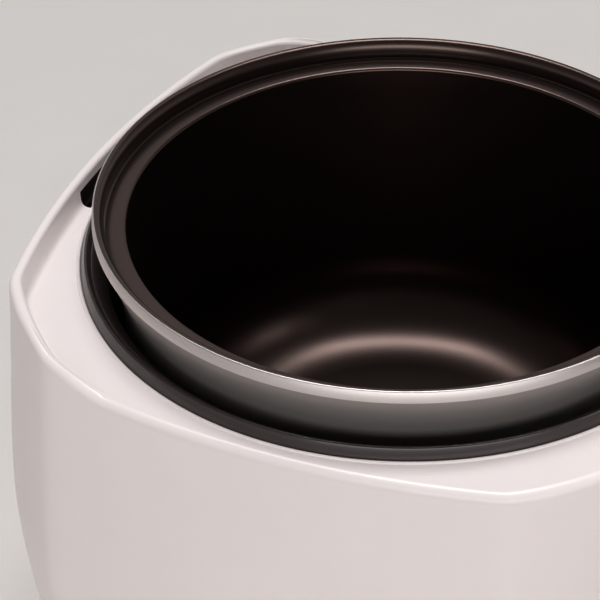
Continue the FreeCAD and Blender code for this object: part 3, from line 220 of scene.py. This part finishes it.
def worked_metal(name, colour, roughness, grain, stretch, relief):
    """Bare metal with the marks of its making: a grain that is drawn out along each axis by stretch.

    The grain's size and relief are in millimetres.
    """
    material, tree, place = blank_material(name)
    scale = [1 / (grain * MM * s) for s in stretch]
    drawn = node(tree, "ShaderNodeMapping", {"Vector": place, "Scale": scale})
    marks = node(tree, "ShaderNodeTexNoise", {"Vector": drawn.outputs["Vector"], "Scale": 1.0, "Detail": 3.0})
    pattern = marks.outputs["Fac"]
    surface(
        tree, tone=pattern, colours=(linear(colour), darker(colour, share=0.8)), sheen=pattern,
        roughness=roughness, spread=0.25, bumps=pattern, relief=relief, metallic=1.0)
    return material


# The plate's underside is spark-grained, so the eye gets a dull dark grey with no reflections
dress(nodes["base_plate"], moulded(
    "dark PP, spark-grained mould", "#575352", "#4E4A49", roughness=0.6, grain=0.5, relief=0.06))
# Feet: dull black rubber with a soft dusty bloom
black_rubber = moulded("black rubber, pressed", "#2F2D2D", "#3A3837", roughness=0.8, grain=0.4, relief=0.05)
dress(nodes["rubber_feet"], black_rubber)
# Zinc-plated screws: bright grey, faintly streaked
plated_steel = worked_metal(
    "zinc-plated steel, drawn", "#C4C4C6", roughness=0.32, grain=0.15, stretch=(1, 1, 12), relief=0.004)
dress(nodes["base_screws"], plated_steel)

# Power side: a green circuit board on posts over the base, and the inlet socket in the rear wall.
# The socket is moulded in black plastic and holds two plain brass pins.

board_green = moulded(
    "solder-masked epoxy board", "#3F7650", "#356645", roughness=0.35, grain=0.8, relief=0.03)
dress(nodes["power_board"], board_green)
dress(nodes["power_inlet"], moulded(
    "black PBT, moulded", "#2B2A2A", "#262525", roughness=0.42, grain=0.3, relief=0.03))
dress(nodes["inlet_pins"], worked_metal(
    "brass, turned", "#CBAF7C", roughness=0.22, grain=0.12, stretch=(1, 30, 1), relief=0.003))

# Outer shell: one deep white moulding with four bulged sides, narrow corner strips, a flat deck round the pot
# and a raised lip along the front. It is glossy, and its edges are rounded as the mould leaves them.

deck_height, shell_bottom = 156.0, 6.0
front_crease, rear_crease = 118.6, 114.5
crease_angle = math.radians(36)
side_bow, rear_bow, strip_bow = 275.0, 170.0, 90.0
plan_step, crease_passes = 1.8, 3
# Each level is the swell past the plan at the deck, and a height
shell_levels = [(-9.0, 6.0), (-1.5, 32.0), (3.15, 60.0), (4.5, 92.0), (0.0, 153.2), (-0.8, 164.5)]
shell_curve_steps, wall_rows, inner_rows = 12, 40, 5
shell_wall, deck_wall = 2.6, 2.8
deck_edge_round, lip_edge_round = 3.0, 1.8
lip_rise, lip_thickness = 8.5, 4.5
lip_back_round, lip_foot_round, lip_draft = 1.4, 2.2, 0.3
ramp_full, ramp_foot = -80.0, -50.0
deck_shares = (0.15, 0.4, 0.7, 1)
hole_radius, bead_radius, bead_width, bead_rise = 92.8, 97.4, 1.1, 0.5


def arc(start, end, radius, steps):
    """Points on an arc from start to end, both included, that bulges to the right of the way.

    With a radius below zero it bulges to the left.
    """
    start, end = Vector(start), Vector(end)
    chord = end - start
    right = Vector((chord.y, -chord.x)).normalized()
    away = math.copysign(math.sqrt(radius ** 2 - (chord.length / 2) ** 2), radius)
    centre = (start + end) / 2 - right * away
    first = math.atan2(start.y - centre.y, start.x - centre.x)
    sweep = math.copysign(2 * math.asin(chord.length / 2 / abs(radius)), radius)
    angles = [first + sweep * n / steps for n in range(steps + 1)]
    return [centre + Vector((math.cos(a), math.sin(a))) * abs(radius) for a in angles]


def housing_plan():
    """The housing's plan at the deck: four bowed sides and four corner strips, with softened creases."""
    front_out, front_in = front_crease * math.cos(crease_angle), front_crease * math.sin(crease_angle)
    rear_out, rear_in = rear_crease * math.cos(crease_angle), rear_crease * math.sin(crease_angle)
    corners = [
        (Vector((-front_in, -front_out)), side_bow),
        (Vector((front_in, -front_out)), strip_bow),
        (Vector((front_out, -front_in)), side_bow),
        (Vector((rear_out, rear_in)), strip_bow),
        (Vector((rear_in, rear_out)), rear_bow),
        (Vector((-rear_in, rear_out)), strip_bow),
        (Vector((-rear_out, rear_in)), side_bow),
        (Vector((-front_out, -front_in)), strip_bow),
    ]
    points = []
    for n, (start, bow) in enumerate(corners):
        end = corners[(n + 1) % len(corners)][0]
        length = 2 * bow * math.asin((end - start).length / 2 / bow)
        points += arc(start, end, bow, max(2, round(length / plan_step)))[:-1]
    for _ in range(crease_passes):
        points = [
            (points[n - 1] + points[n] * 2 + points[(n + 1) % len(points)]) / 4 for n in range(len(points))
        ]
    return points


def smooth_curve(points, steps):
    """A smooth line through points: at each one it runs along the line between its neighbours."""
    last = len(points) - 1
    ways = [(points[min(n + 1, last)] - points[max(n - 1, 0)]).normalized() for n in range(last + 1)]
    line = []
    for n in range(last):
        start, end = points[n], points[n + 1]
        reach = (end - start).length / 3
        leave, arrive = start + ways[n] * reach, end - ways[n + 1] * reach
        line += interpolate_bezier(start, leave, arrive, end, steps + 1)[:-1]
    return line + [points[-1]]


def at_height(line, z):
    """The first value of a rising line where its second value is z."""
    for low, high in zip(line, line[1:]):
        if z <= high.y:
            return low.x + (high.x - low.x) * (z - low.y) / (high.y - low.y)
    return line[-1].x


def at_swell(spot, swell, z):
    """A plan point swollen or drawn in towards the pot's axis, at a height."""
    grow = (front_crease + swell) / front_crease
    return Vector((spot.x * grow, spot.y * grow, z))


def at_radius(spot, radius, z):
    """The point towards a plan point at a radius from the pot's axis."""
    way = spot.normalized()
    return Vector((way.x * radius, way.y * radius, z))


def lip_share(y):
    """The share of the lip's height at a place along the side: all at the front, none behind the ramp."""
    share = min(1, max(0, (ramp_foot - y) / (ramp_foot - ramp_full)))
    eased = share * share * (3 - 2 * share)
    return (share + eased) / 2


def degrees(start, end, step):
    """Angles in radians, from start to end by steps of whole degrees."""
    return [math.radians(a) for a in range(start, end + 1, step)]


quarter_turn = degrees(0, 90, 15)
shell_line = smooth_curve([Vector(level) for level in shell_levels], shell_curve_steps)
# The lip's back, from its top down to the deck: each point is a swell and a share of the lip's height
lip_back = [
    (-lip_thickness + lip_back_round * (1 - math.sin(a)), 1 - lip_back_round * (1 - math.cos(a)) / lip_rise)
    for a in quarter_turn
] + [
    (-lip_thickness - lip_draft - lip_foot_round * (1 - math.cos(a)),
     lip_foot_round * (1 - math.sin(a)) / lip_rise)
    for a in quarter_turn
]


def shell_section(spot):
    """The housing's wall at one plan point: up the outside, over lip and deck, and down the inside."""
    rise = lip_rise * lip_share(spot.y)
    top = deck_height + rise
    edge = deck_edge_round + (lip_edge_round - deck_edge_round) * rise / lip_rise
    section = []
    for row in range(wall_rows + 1):
        z = shell_bottom + (top - edge - shell_bottom) * row / wall_rows
        section.append(at_swell(spot, at_height(shell_line, z), z))
    crest = at_height(shell_line, top - edge)
    for a in quarter_turn[1:]:
        section.append(at_swell(spot, crest - edge * (1 - math.cos(a)), top - edge + edge * math.sin(a)))
    for inset, share in lip_back:
        back = at_swell(spot, inset, deck_height)
        back.z += lip_rise * lip_share(back.y) * share
        section.append(back)
    deck_start = section[-1]
    deck_end = at_radius(spot, bead_radius + bead_width / 2, deck_height)
    section += [deck_start.lerp(deck_end, share) for share in deck_shares]
    for a in degrees(45, 180, 45):
        across = bead_width / 2 * math.cos(a)
        section.append(at_radius(spot, bead_radius + across, deck_height + bead_rise * math.sin(a)))
    inner_top = deck_height - deck_wall
    section.append(at_radius(spot, hole_radius, deck_height))
    section.append(at_radius(spot, hole_radius, inner_top))
    for row in range(inner_rows + 1):
        z = inner_top + (shell_bottom - inner_top) * (row / inner_rows)
        section.append(at_swell(spot, at_height(shell_line, z) - shell_wall, z))
    return section


sharp_angle = math.radians(40)
weld_reach = 0.001 * MM


def smooth(piece):
    """Shade a piece smooth, apart from its sharp edges."""
    piece.data.shade_smooth()
    piece.data.set_sharp_from_angle(angle=sharp_angle)


def skinned(name, rings, loop, skins=None):
    """A smooth skin over rings of points, in millimetres about the pot's axis.

    loop also joins the last ring to the first, and skins gives each row its material's number.
    """
    count = len(rings[0])
    rows = len(rings) if loop else len(rings) - 1
    shape = bmesh.new()
    verts = [shape.verts.new(point * MM + Vector((0, axis_y, 0))) for ring in rings for point in ring]
    for row in range(rows):
        low, high = row * count, (row + 1) % len(rings) * count
        for n in range(count):
            after = (n + 1) % count
            face = shape.faces.new([verts[low + n], verts[low + after], verts[high + after], verts[high + n]])
            face.material_index = skins[row] if skins else 0
    bmesh.ops.remove_doubles(shape, verts=shape.verts, dist=weld_reach)
    bmesh.ops.recalc_face_normals(shape, faces=shape.faces)
    mesh = bpy.data.meshes.new(name)
    shape.to_mesh(mesh)
    shape.free()
    piece = bpy.data.objects.new(name, mesh)
    bpy.context.scene.collection.objects.link(piece)
    smooth(piece)
    return piece


def prism(name, outline, start, end, along_y=False):
    """A bar with closed ends between two places along X, with an outline of (y, z) points.

    It can lie along Y instead, with an outline of (x, z) points.
    """
    bar = skinned(name, [
        [Vector((side, reach, z) if along_y else (reach, side, z)) for side, z in outline]
        for reach in (start, end)
    ], loop=False)
    shape = bmesh.new()
    shape.from_mesh(bar.data)
    bmesh.ops.holes_fill(shape, edges=[edge for edge in shape.edges if edge.is_boundary])
    bmesh.ops.recalc_face_normals(shape, faces=shape.faces)
    shape.to_mesh(bar.data)
    shape.free()
    smooth(bar)
    return bar


def settle(piece):
    """Turn a piece and its modifiers into a plain mesh."""
    view = bpy.context.evaluated_depsgraph_get()
    piece.data = bpy.data.meshes.new_from_object(piece.evaluated_get(view))
    piece.modifiers.clear()


def carve(piece, *cutters):
    """Cut shapes out of a piece."""
    for cutter in cutters:
        cut = piece.modifiers.new("cut", "BOOLEAN")
        cut.operation = "DIFFERENCE"
        cut.solver = "EXACT"
        cut.object = cutter
    settle(piece)
    for cutter in cutters:
        bpy.data.objects.remove(cutter)
    smooth(piece)


def about(across, up, radius, angles):
    """Points of an outline at a radius from a centre, one at each angle in radians."""
    return [(across + radius * math.cos(a), up + radius * math.sin(a)) for a in angles]


def full_turn(count):
    """Even angles in radians all the way round."""
    return [math.tau * n / count for n in range(count)]


def box_outline(y, z):
    """A square outline between two places along Y and Z."""
    return [(y[0], z[0]), (y[1], z[0]), (y[1], z[1]), (y[0], z[1])]


# The cutters for the walls run between two distances from the pot's axis
cutter_near, cutter_far = 60.0, 150.0
cutter_circle = full_turn(48)
plan = housing_plan()
shell = skinned("housing_moulding", list(zip(*[shell_section(spot) for spot in plan])), loop=True)

# Control panel window: an opening in the front with rounded corners, drawn corner by corner
panel_width, panel_tall, panel_corner, panel_middle, panel_gap = 84.0, 38.0, 17.0, 86.0, 0.2
inner_half = panel_width / 2 - panel_corner
inner_tall = panel_tall / 2 - panel_corner
window_outline = []
for corner, (side, level) in enumerate(((1, 1), (-1, 1), (-1, -1), (1, -1))):
    turn = [corner * math.pi / 2 + a for a in quarter_turn]
    window_outline += about(
        side * inner_half, panel_middle + level * inner_tall, panel_corner + panel_gap, turn)

# Latch slot at the lip's foot, the inlet's window at the rear, and the hinge's round relief
slot_half, slot_back, slot_front, slot_low, slot_high = 17.8, -102.63, -96.93, 142.0, 161.0
inlet_half, inlet_low, inlet_high = 14.2, 28.8, 51.2
hinge = next(joint for joint in frame["joints"] if joint["name"] == "lid_hinge")
hinge_spot = Vector(hinge["pos_m"])
hinge_y, hinge_z = (hinge_spot.y - axis_y) / MM, hinge_spot.z / MM
ear_inside, ear_outside, ear_radius = 30.0, 43.0, 7.0
knuckle_radius, notch_gap = 6.4, 0.8
slot_outline = box_outline((slot_back, slot_front), (slot_low, slot_high))
inlet_outline = box_outline((cutter_near, cutter_far), (inlet_low, inlet_high))
relief_outline = about(hinge_y, hinge_z, knuckle_radius + notch_gap, cutter_circle)
carve(
    shell,
    prism("window", window_outline, -cutter_far, -cutter_near, along_y=True),
    prism("slot", slot_outline, -slot_half, slot_half),
    prism("inlet_window", inlet_outline, -inlet_half, inlet_half),
    prism("relief", relief_outline, -ear_inside, ear_inside),
)
# Glossy white, faintly pink plastic: the eye gets soft clear reflections over a very fine orange peel
white_plastic = moulded(
    "white ABS, polished mould", "#EAE1E0", "#E5DBDA", roughness=0.33, grain=1.2, relief=0.004)
dress(shell, white_plastic)
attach(shell, "housing")
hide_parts("outer_shell")

# Hinge ears: two eyes on leaning stems, moulded on the housing's rear wall
rear_reach = 106.52
stem_top, stem_low, stem_depth = 154.6, 133.0, 6.0
ear_edge, ear_edge_rows = 0.8, 3
stem_in = rear_reach - stem_depth
ear_outline = about(hinge_y, hinge_z, ear_radius, degrees(0, 180, 10))
ear_outline += [(stem_in, stem_top), (stem_in, stem_low), (hinge_y + ear_radius, hinge_z - ear_radius)]
for side, start in (("right", ear_inside), ("left", -ear_outside)):
    ear = prism(f"hinge_ear_{side}", ear_outline, start, start + ear_outside - ear_inside)
    soft_edge = ear.modifiers.new("soft_edge", "BEVEL")
    soft_edge.width = ear_edge * MM
    soft_edge.segments = ear_edge_rows
    settle(ear)
    smooth(ear)
    dress(ear, white_plastic)
    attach(ear, "housing")

# Controls at the front: a dark glossy fascia with two white push buttons and two amber lenses.
# The buttons press switches on a small circuit board behind the fascia.

dress(nodes["control_panel"], moulded(
    "dark PC, polished mould", "#46403F", "#413B3A", roughness=0.18, grain=1.2, relief=0.003))
key_plastic = moulded("white POM, moulded keys", "#DCD2D1", "#D6CCCB", roughness=0.3, grain=0.5, relief=0.008)
dress(nodes["cook_button"], key_plastic)
dress(nodes["warm_button"], key_plastic)
dress(nodes["lamp_lenses"], moulded(
    "amber PMMA lens", "#E1963F", "#D98B38", roughness=0.12, grain=0.8, relief=0.003))
dress(nodes["panel_board"], board_green)

# Latch catch: a dark insert that lines the slot at the lip's foot and carries the keeper ledge.
# It is moulded in the same plain dark plastic as the collar.

dark_plastic = moulded("dark PP, satin mould", "#2F2725", "#28201F", roughness=0.22, grain=0.6, relief=0.003)
dress(nodes["latch_catch"], dark_plastic)

# Collar: a dark plastic ring that drops into the deck's hole round the pot.
# Its steep outer face ends in a fine ridge, and inside that it runs down past a groove into the well.

collar_radius, collar_bore, collar_foot = 96.8, 91.0, 148.0
collar_seat, collar_edge = 0.05, 0.3
ridge_radius, ridge_rise, ridge_round = 94.9, 3.6, 0.6
collar_groove_radius, collar_groove_rise, collar_groove_half = 93.4, 2.1, 0.25
collar_lip_radius, collar_lip_rise = 92.6, 1.9
well_edge_radius, well_edge_rise, well_edge_thick = 88.9, -2.2, 1.2
spigot_radius = 92.7
round_steps = 288


def turned(name, profile, skins=None, loop=False):
    """A piece turned about the pot's axis from (radius, height) points."""
    angles = full_turn(round_steps)
    rings = [[Vector((r * math.cos(a), r * math.sin(a), z)) for a in angles] for r, z in profile]
    return skinned(name, rings, loop, skins)


collar = turned("collar_moulding", [
    (collar_bore, collar_foot),
    (spigot_radius, collar_foot),
    (spigot_radius, deck_height + collar_seat),
    (collar_radius, deck_height + collar_seat),
    (collar_radius, deck_height + collar_edge),
    *about(ridge_radius, deck_height + ridge_rise - ridge_round, ridge_round, degrees(15, 135, 15)),
    (collar_groove_radius + collar_groove_half, deck_height + collar_groove_rise + collar_groove_half),
    (collar_groove_radius, deck_height + collar_groove_rise),
    (collar_groove_radius - collar_groove_half, deck_height + collar_groove_rise),
    (collar_lip_radius, deck_height + collar_lip_rise),
    (well_edge_radius, deck_height + well_edge_rise),
    (well_edge_radius, deck_height + well_edge_rise - well_edge_thick),
    (collar_bore, deck_height + well_edge_rise - well_edge_thick),
], loop=True)
dress(collar, dark_plastic)
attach(collar, "housing")
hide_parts("pot_collar")

# Liner: a thin cup drawn from steel sheet, which hangs under the collar round the pot.
# The heater stands on its floor.

dress(nodes["inner_liner"], worked_metal(
    "steel sheet, deep-drawn", "#8F8D8B", roughness=0.5, grain=0.3, stretch=(1, 1, 14), relief=0.006))

# Heater: a cast aluminium plate on three posts, with a steel-clad ring pressed into its underside.
# A small ceramic thermal fuse lies against the plate.

cast_aluminium = worked_metal(
    "aluminium, cast", "#C3C1BF", roughness=0.5, grain=0.6, stretch=(1, 1, 1), relief=0.02)
dress(nodes["heater_plate"], cast_aluminium)
dress(nodes["heating_element"], plated_steel)
dress(nodes["plate_posts"], plated_steel)
dress(nodes["thermal_fuse"], moulded(
    "ceramic, pressed", "#E1DDD4", "#D9D4CA", roughness=0.55, grain=0.3, relief=0.02))

# Sensor: an aluminium cup that a coil spring pushes up against the pot's floor, on a bent steel bracket.
# The spring stands on the bracket, and gets a mesh of its own.

spring_steel = worked_metal(
    "spring steel, coiled wire", "#ABABAD", roughness=0.3, grain=0.1, stretch=(1, 1, 1), relief=0.003)
dress(nodes["sensor_cup"], cast_aluminium)
dress(nodes["sensor_bracket"], plated_steel)
dress(nodes["sensor_spring"], spring_steel)
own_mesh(nodes["sensor_spring"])

# Pot: spun aluminium with a bare turned band round the rim, a grey outside and a brown-black inside.
# The mouth steps in over a groove to a low ledge, and the wall runs down into a well-rounded floor.

rim_radius, rim_top_radius, band_height = 92.2, 91.8, 3.5
band_edge, band_edge_flare = 0.35, 0.1
band_knee, band_knee_drop = 0.15, 0.08
rim_land, land_drop = 1.2, 0.05
land_edge, land_edge_drop = 0.6, 0.4
mouth_radius, pot_wall, pot_taper = 83.3, 2.4, 3.4
# Each point of the outside under the band is a radius, and a drop from the rim's top
flare_points = [(85.3, 24.0), (86.0, 20.0), (87.2, 16.0), (88.6, 12.4), (89.8, 9.2), (90.7, 6.2), (91.2, 3.8)]
pot_depth, pot_bottom_wall, floor_round = 105.5, 1.5, 29.0
step_radius, step_drop = 88.6, 2.5
groove_radius, groove_drop, groove_half = 88.4, 6.4, 0.5
groove_outer_rise, groove_inner_rise = 0.4, 0.1
crown_radius, crown_drop = 86.2, 5.85
ledge_radius, ledge_drop, ledge_edge = 83.3, 6.2, 1.1
ledge_foot = 15.0
outside_steps, ledge_steps, floor_steps = 10, 6, 12

floor_z = rim_top - pot_depth
bottom_z = floor_z - pot_bottom_wall
foot_radius = mouth_radius - pot_taper
outer_round = floor_round + pot_wall
outer_foot = (foot_radius + pot_wall, bottom_z + outer_round)
wall_foot = (foot_radius, floor_z + floor_round)

outside = [(0, bottom_z), (foot_radius + pot_wall - outer_round, bottom_z)]
outside += arc(outside[-1], outer_foot, outer_round, outside_steps)[1:]
outside += [(r, rim_top - drop) for r, drop in flare_points]
outside += [(rim_radius, rim_top - band_height)]
band = [
    (rim_top_radius + band_edge_flare, rim_top - band_edge),
    (rim_top_radius - band_knee, rim_top - band_knee_drop),
    (rim_top_radius - band_edge, rim_top),
]
inside = [
    (rim_top_radius - rim_land, rim_top - land_drop),
    (rim_top_radius - rim_land - land_edge, rim_top - land_edge_drop),
    (step_radius, rim_top - step_drop),
    (groove_radius + groove_half, rim_top - groove_drop + groove_outer_rise),
    (groove_radius, rim_top - groove_drop),
    (groove_radius - groove_half, rim_top - groove_drop + groove_inner_rise),
    (crown_radius, rim_top - crown_drop),
    (ledge_radius, rim_top - ledge_drop),
]
ledge_end = (ledge_radius - ledge_edge, rim_top - ledge_drop - ledge_edge)
inside += arc(inside[-1], ledge_end, ledge_edge, ledge_steps)[1:]
inside += [(mouth_radius, rim_top - ledge_foot)]
inside += arc(wall_foot, (foot_radius - floor_round, floor_z), -floor_round, floor_steps)
inside += [(0, floor_z)]
# The numbers are places in the pot's list of materials
GREY, BARE, COATED = 0, 1, 2
skins = [GREY] * (len(outside) - 1) + [BARE] * len(band) + [COATED] * len(inside)
pot = turned("spun_pot", outside + band + inside, skins)

# The ghost of the turning lines comes back about every 5 mm up the pot
ghost_scale = 62.5
# The band's tone changes only slowly on the way round
band_scale = 2.0


def spun_coat(name, colour, shade, metallic, roughness, grain, relief):
    """A coat sprayed on spun metal: fine flecks, and the ghost of the turning lines round the pot."""
    material, tree, place = blank_material(name)
    flecks = node(tree, "ShaderNodeTexNoise", {"Vector": place, "Scale": 1 / (grain * MM), "Detail": 4.0})
    ghost = node(tree, "ShaderNodeTexWave", {
        "Vector": place, "Scale": ghost_scale, "Distortion": 0.4, "Detail": 1.0},
        wave_type="BANDS", bands_direction="Z")
    surface(
        tree, tone=flecks.outputs["Fac"], colours=(linear(colour), linear(shade)), sheen=ghost.outputs["Fac"],
        roughness=roughness, spread=0.02, bumps=flecks.outputs["Fac"], relief=relief, metallic=metallic)
    return material


def turned_band(name, colour, line_pitch, roughness, relief):
    """Bare metal cut on a lathe: fine level grooves, and a soft change of tone from groove to groove."""
    material, tree, place = blank_material(name)
    scale = [band_scale, band_scale, 1 / (line_pitch * MM)]
    flat = node(tree, "ShaderNodeMapping", {"Vector": place, "Scale": scale})
    lines = node(tree, "ShaderNodeTexNoise", {"Vector": flat.outputs["Vector"], "Scale": 1.0, "Detail": 2.0})
    pattern = lines.outputs["Fac"]
    surface(
        tree, tone=pattern, colours=(linear(colour), darker(colour, share=0.78)), sheen=pattern,
        roughness=roughness, spread=0.2, bumps=pattern, relief=relief, metallic=1.0)
    return material


# Outside: a hard grey coat with a dull metallic sheen
grey_coat = spun_coat(
    "grey hard coat on spun aluminium", "#A29B98", "#968F8C",
    metallic=0.65, roughness=0.42, grain=0.3, relief=0.006)
# Rim band: pale bare metal with fine bright and dark turning lines
bare_band = turned_band("aluminium, turned bare", "#DAD2D0", line_pitch=0.22, roughness=0.45, relief=0.006)
# Inside: a brown-black coat whose flecks give a broad tan highlight in the floor's round
brown_coat = spun_coat(
    "brown non-stick coat on spun aluminium", "#4E413D", "#463A36",
    metallic=0.95, roughness=0.28, grain=0.35, relief=0.006)
for material in (grey_coat, bare_band, brown_coat):
    pot.data.materials.append(material)
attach(pot, "pot")
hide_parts("inner_pot")

# Hinge: a plain steel pin through the housing's ears and the lid's knuckles.
# A torsion spring is wound round its middle.

dress(nodes["hinge_pin"], plated_steel)
dress(nodes["hinge_spring"], spring_steel)

# Lid shell: a domed white moulding that carries on the housing's sides, drawn shut and then swung open.
# Two knuckles on its rear edge turn on the hinge pin, and a window in its front takes the latch button.

# Each level is the swell past the housing's plan at the deck, and a height
lid_levels = [(0.0, 156.0), (-2.0, 176.0), (-9.0, 189.0), (-22.0, 196.5), (-42.0, 200.0)]
lid_curve_steps = 10
lid_wall, parting_gap, lid_edge_round = 2.4, 0.8, 0.8
skirt_rows, skirt_top = 10, 176.0
inner_shares = (1, 0.5, 0)
top_shares = (0.85, 0.6, 0.3, 0)
steam_setback, steam_hole = 18.0, 9.2
latch_half, latch_low, latch_high, latch_in = 17.0, 168.0, 183.0, -96.93
knuckle_split, knuckle_gap = 11.0, 0.4
open_turn = math.radians(hinge["range_deg"][0])

lid_line = smooth_curve([Vector(level) for level in lid_levels], lid_curve_steps)
dome_line = [point for point in lid_line if point.y > skirt_top]


def crown_row(spot, swell, z):
    """Points on the lid's flat top, from its edge in to the rim of the steam hole."""
    edge = at_swell(spot, swell, z)
    middle = Vector((0, steam_setback, z))
    hole = middle + (edge - middle).normalized() * steam_hole
    return [hole.lerp(edge, share) for share in top_shares]


def lid_section(spot):
    """The lid's wall at one plan point: up the outside to the steam hole, and back down the inside."""
    edge = deck_height + lip_rise * lip_share(spot.y) + parting_gap
    skirt_foot = edge + lid_edge_round
    top = lid_line[-1]
    outer = []
    for row in range(skirt_rows + 1):
        z = skirt_foot + (skirt_top - edge - lid_edge_round) * row / skirt_rows
        outer.append(at_swell(spot, at_height(lid_line, z), z))
    outer += [at_swell(spot, point.x, point.y) for point in dome_line]
    crown = crown_row(spot, top.x, top.y)
    inner_crown = crown_row(spot, top.x, top.y - lid_wall)[::-1]
    inner = [at_swell(spot, point.x - lid_wall, point.y - lid_wall) for point in reversed(dome_line)]
    for share in inner_shares:
        z = skirt_foot + (skirt_top - lid_wall - edge - lid_edge_round) * share
        inner.append(at_swell(spot, at_height(lid_line, z) - lid_wall, z))
    rim = [
        at_swell(spot, at_height(lid_line, edge) - lid_wall + lid_edge_round, edge),
        at_swell(spot, at_height(lid_line, edge) - lid_edge_round, edge),
    ]
    return outer + crown + inner_crown + inner + rim


lid = skinned("lid_moulding", list(zip(*[lid_section(spot) for spot in plan])), loop=True)
latch_outline = box_outline((-cutter_far, latch_in), (latch_low, latch_high))
notch = about(hinge_y, hinge_z, ear_radius + notch_gap, cutter_circle)
carve(
    lid,
    prism("latch_window", latch_outline, -latch_half, latch_half),
    prism("right_notch", notch, ear_inside - knuckle_gap, ear_outside + knuckle_gap),
    prism("left_notch", notch, -ear_outside - knuckle_gap, -ear_inside + knuckle_gap),
)
about_hinge = (
    Matrix.Translation(hinge_spot) @ Matrix.Rotation(open_turn, 4, "X") @ Matrix.Translation(-hinge_spot)
)
knuckle_root = rear_reach - lid_wall
knuckle_outline = about(hinge_y, hinge_z, knuckle_radius, degrees(-180, 90, 10))
knuckle_outline += [(knuckle_root, hinge_z + knuckle_radius), (knuckle_root, hinge_z)]
knuckle_length = ear_inside - knuckle_gap - knuckle_split
lid_pieces = [lid]
for side, start in (("right", knuckle_split), ("left", -ear_inside + knuckle_gap)):
    lid_pieces.append(prism(f"hinge_knuckle_{side}", knuckle_outline, start, start + knuckle_length))
for piece in lid_pieces:
    piece.data.transform(about_hinge)
    dress(piece, white_plastic)
    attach(piece, "lid")
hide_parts("lid_shell")

# Lid's inside: a grey plastic liner with room for the pot's rim, a dished metal inner lid and a soft gasket.
# A round cap of the liner's plastic closes the steam hole on the lid's top.

liner_plastic = moulded("grey PP, satin mould", "#95908F", "#8E8988", roughness=0.42, grain=0.4, relief=0.015)
dress(nodes["lid_liner"], liner_plastic)
dress(nodes["steam_cap"], liner_plastic)
dress(nodes["inner_lid"], worked_metal(
    "aluminium sheet, stamped", "#CECCCA", roughness=0.36, grain=0.25, stretch=(1, 1, 10), relief=0.006))
dress(nodes["lid_gasket"], moulded(
    "silicone rubber, moulded", "#B4AFAD", "#ABA6A4", roughness=0.6, grain=0.5, relief=0.02))

# Latch: a white moulded button in the lid's front that swings a hook on a steel pin.
# A leaf spring of steel pushes it back.

dress(nodes["latch_button"], key_plastic)
dress(nodes["latch_pin"], plated_steel)
dress(nodes["latch_spring"], spring_steel)
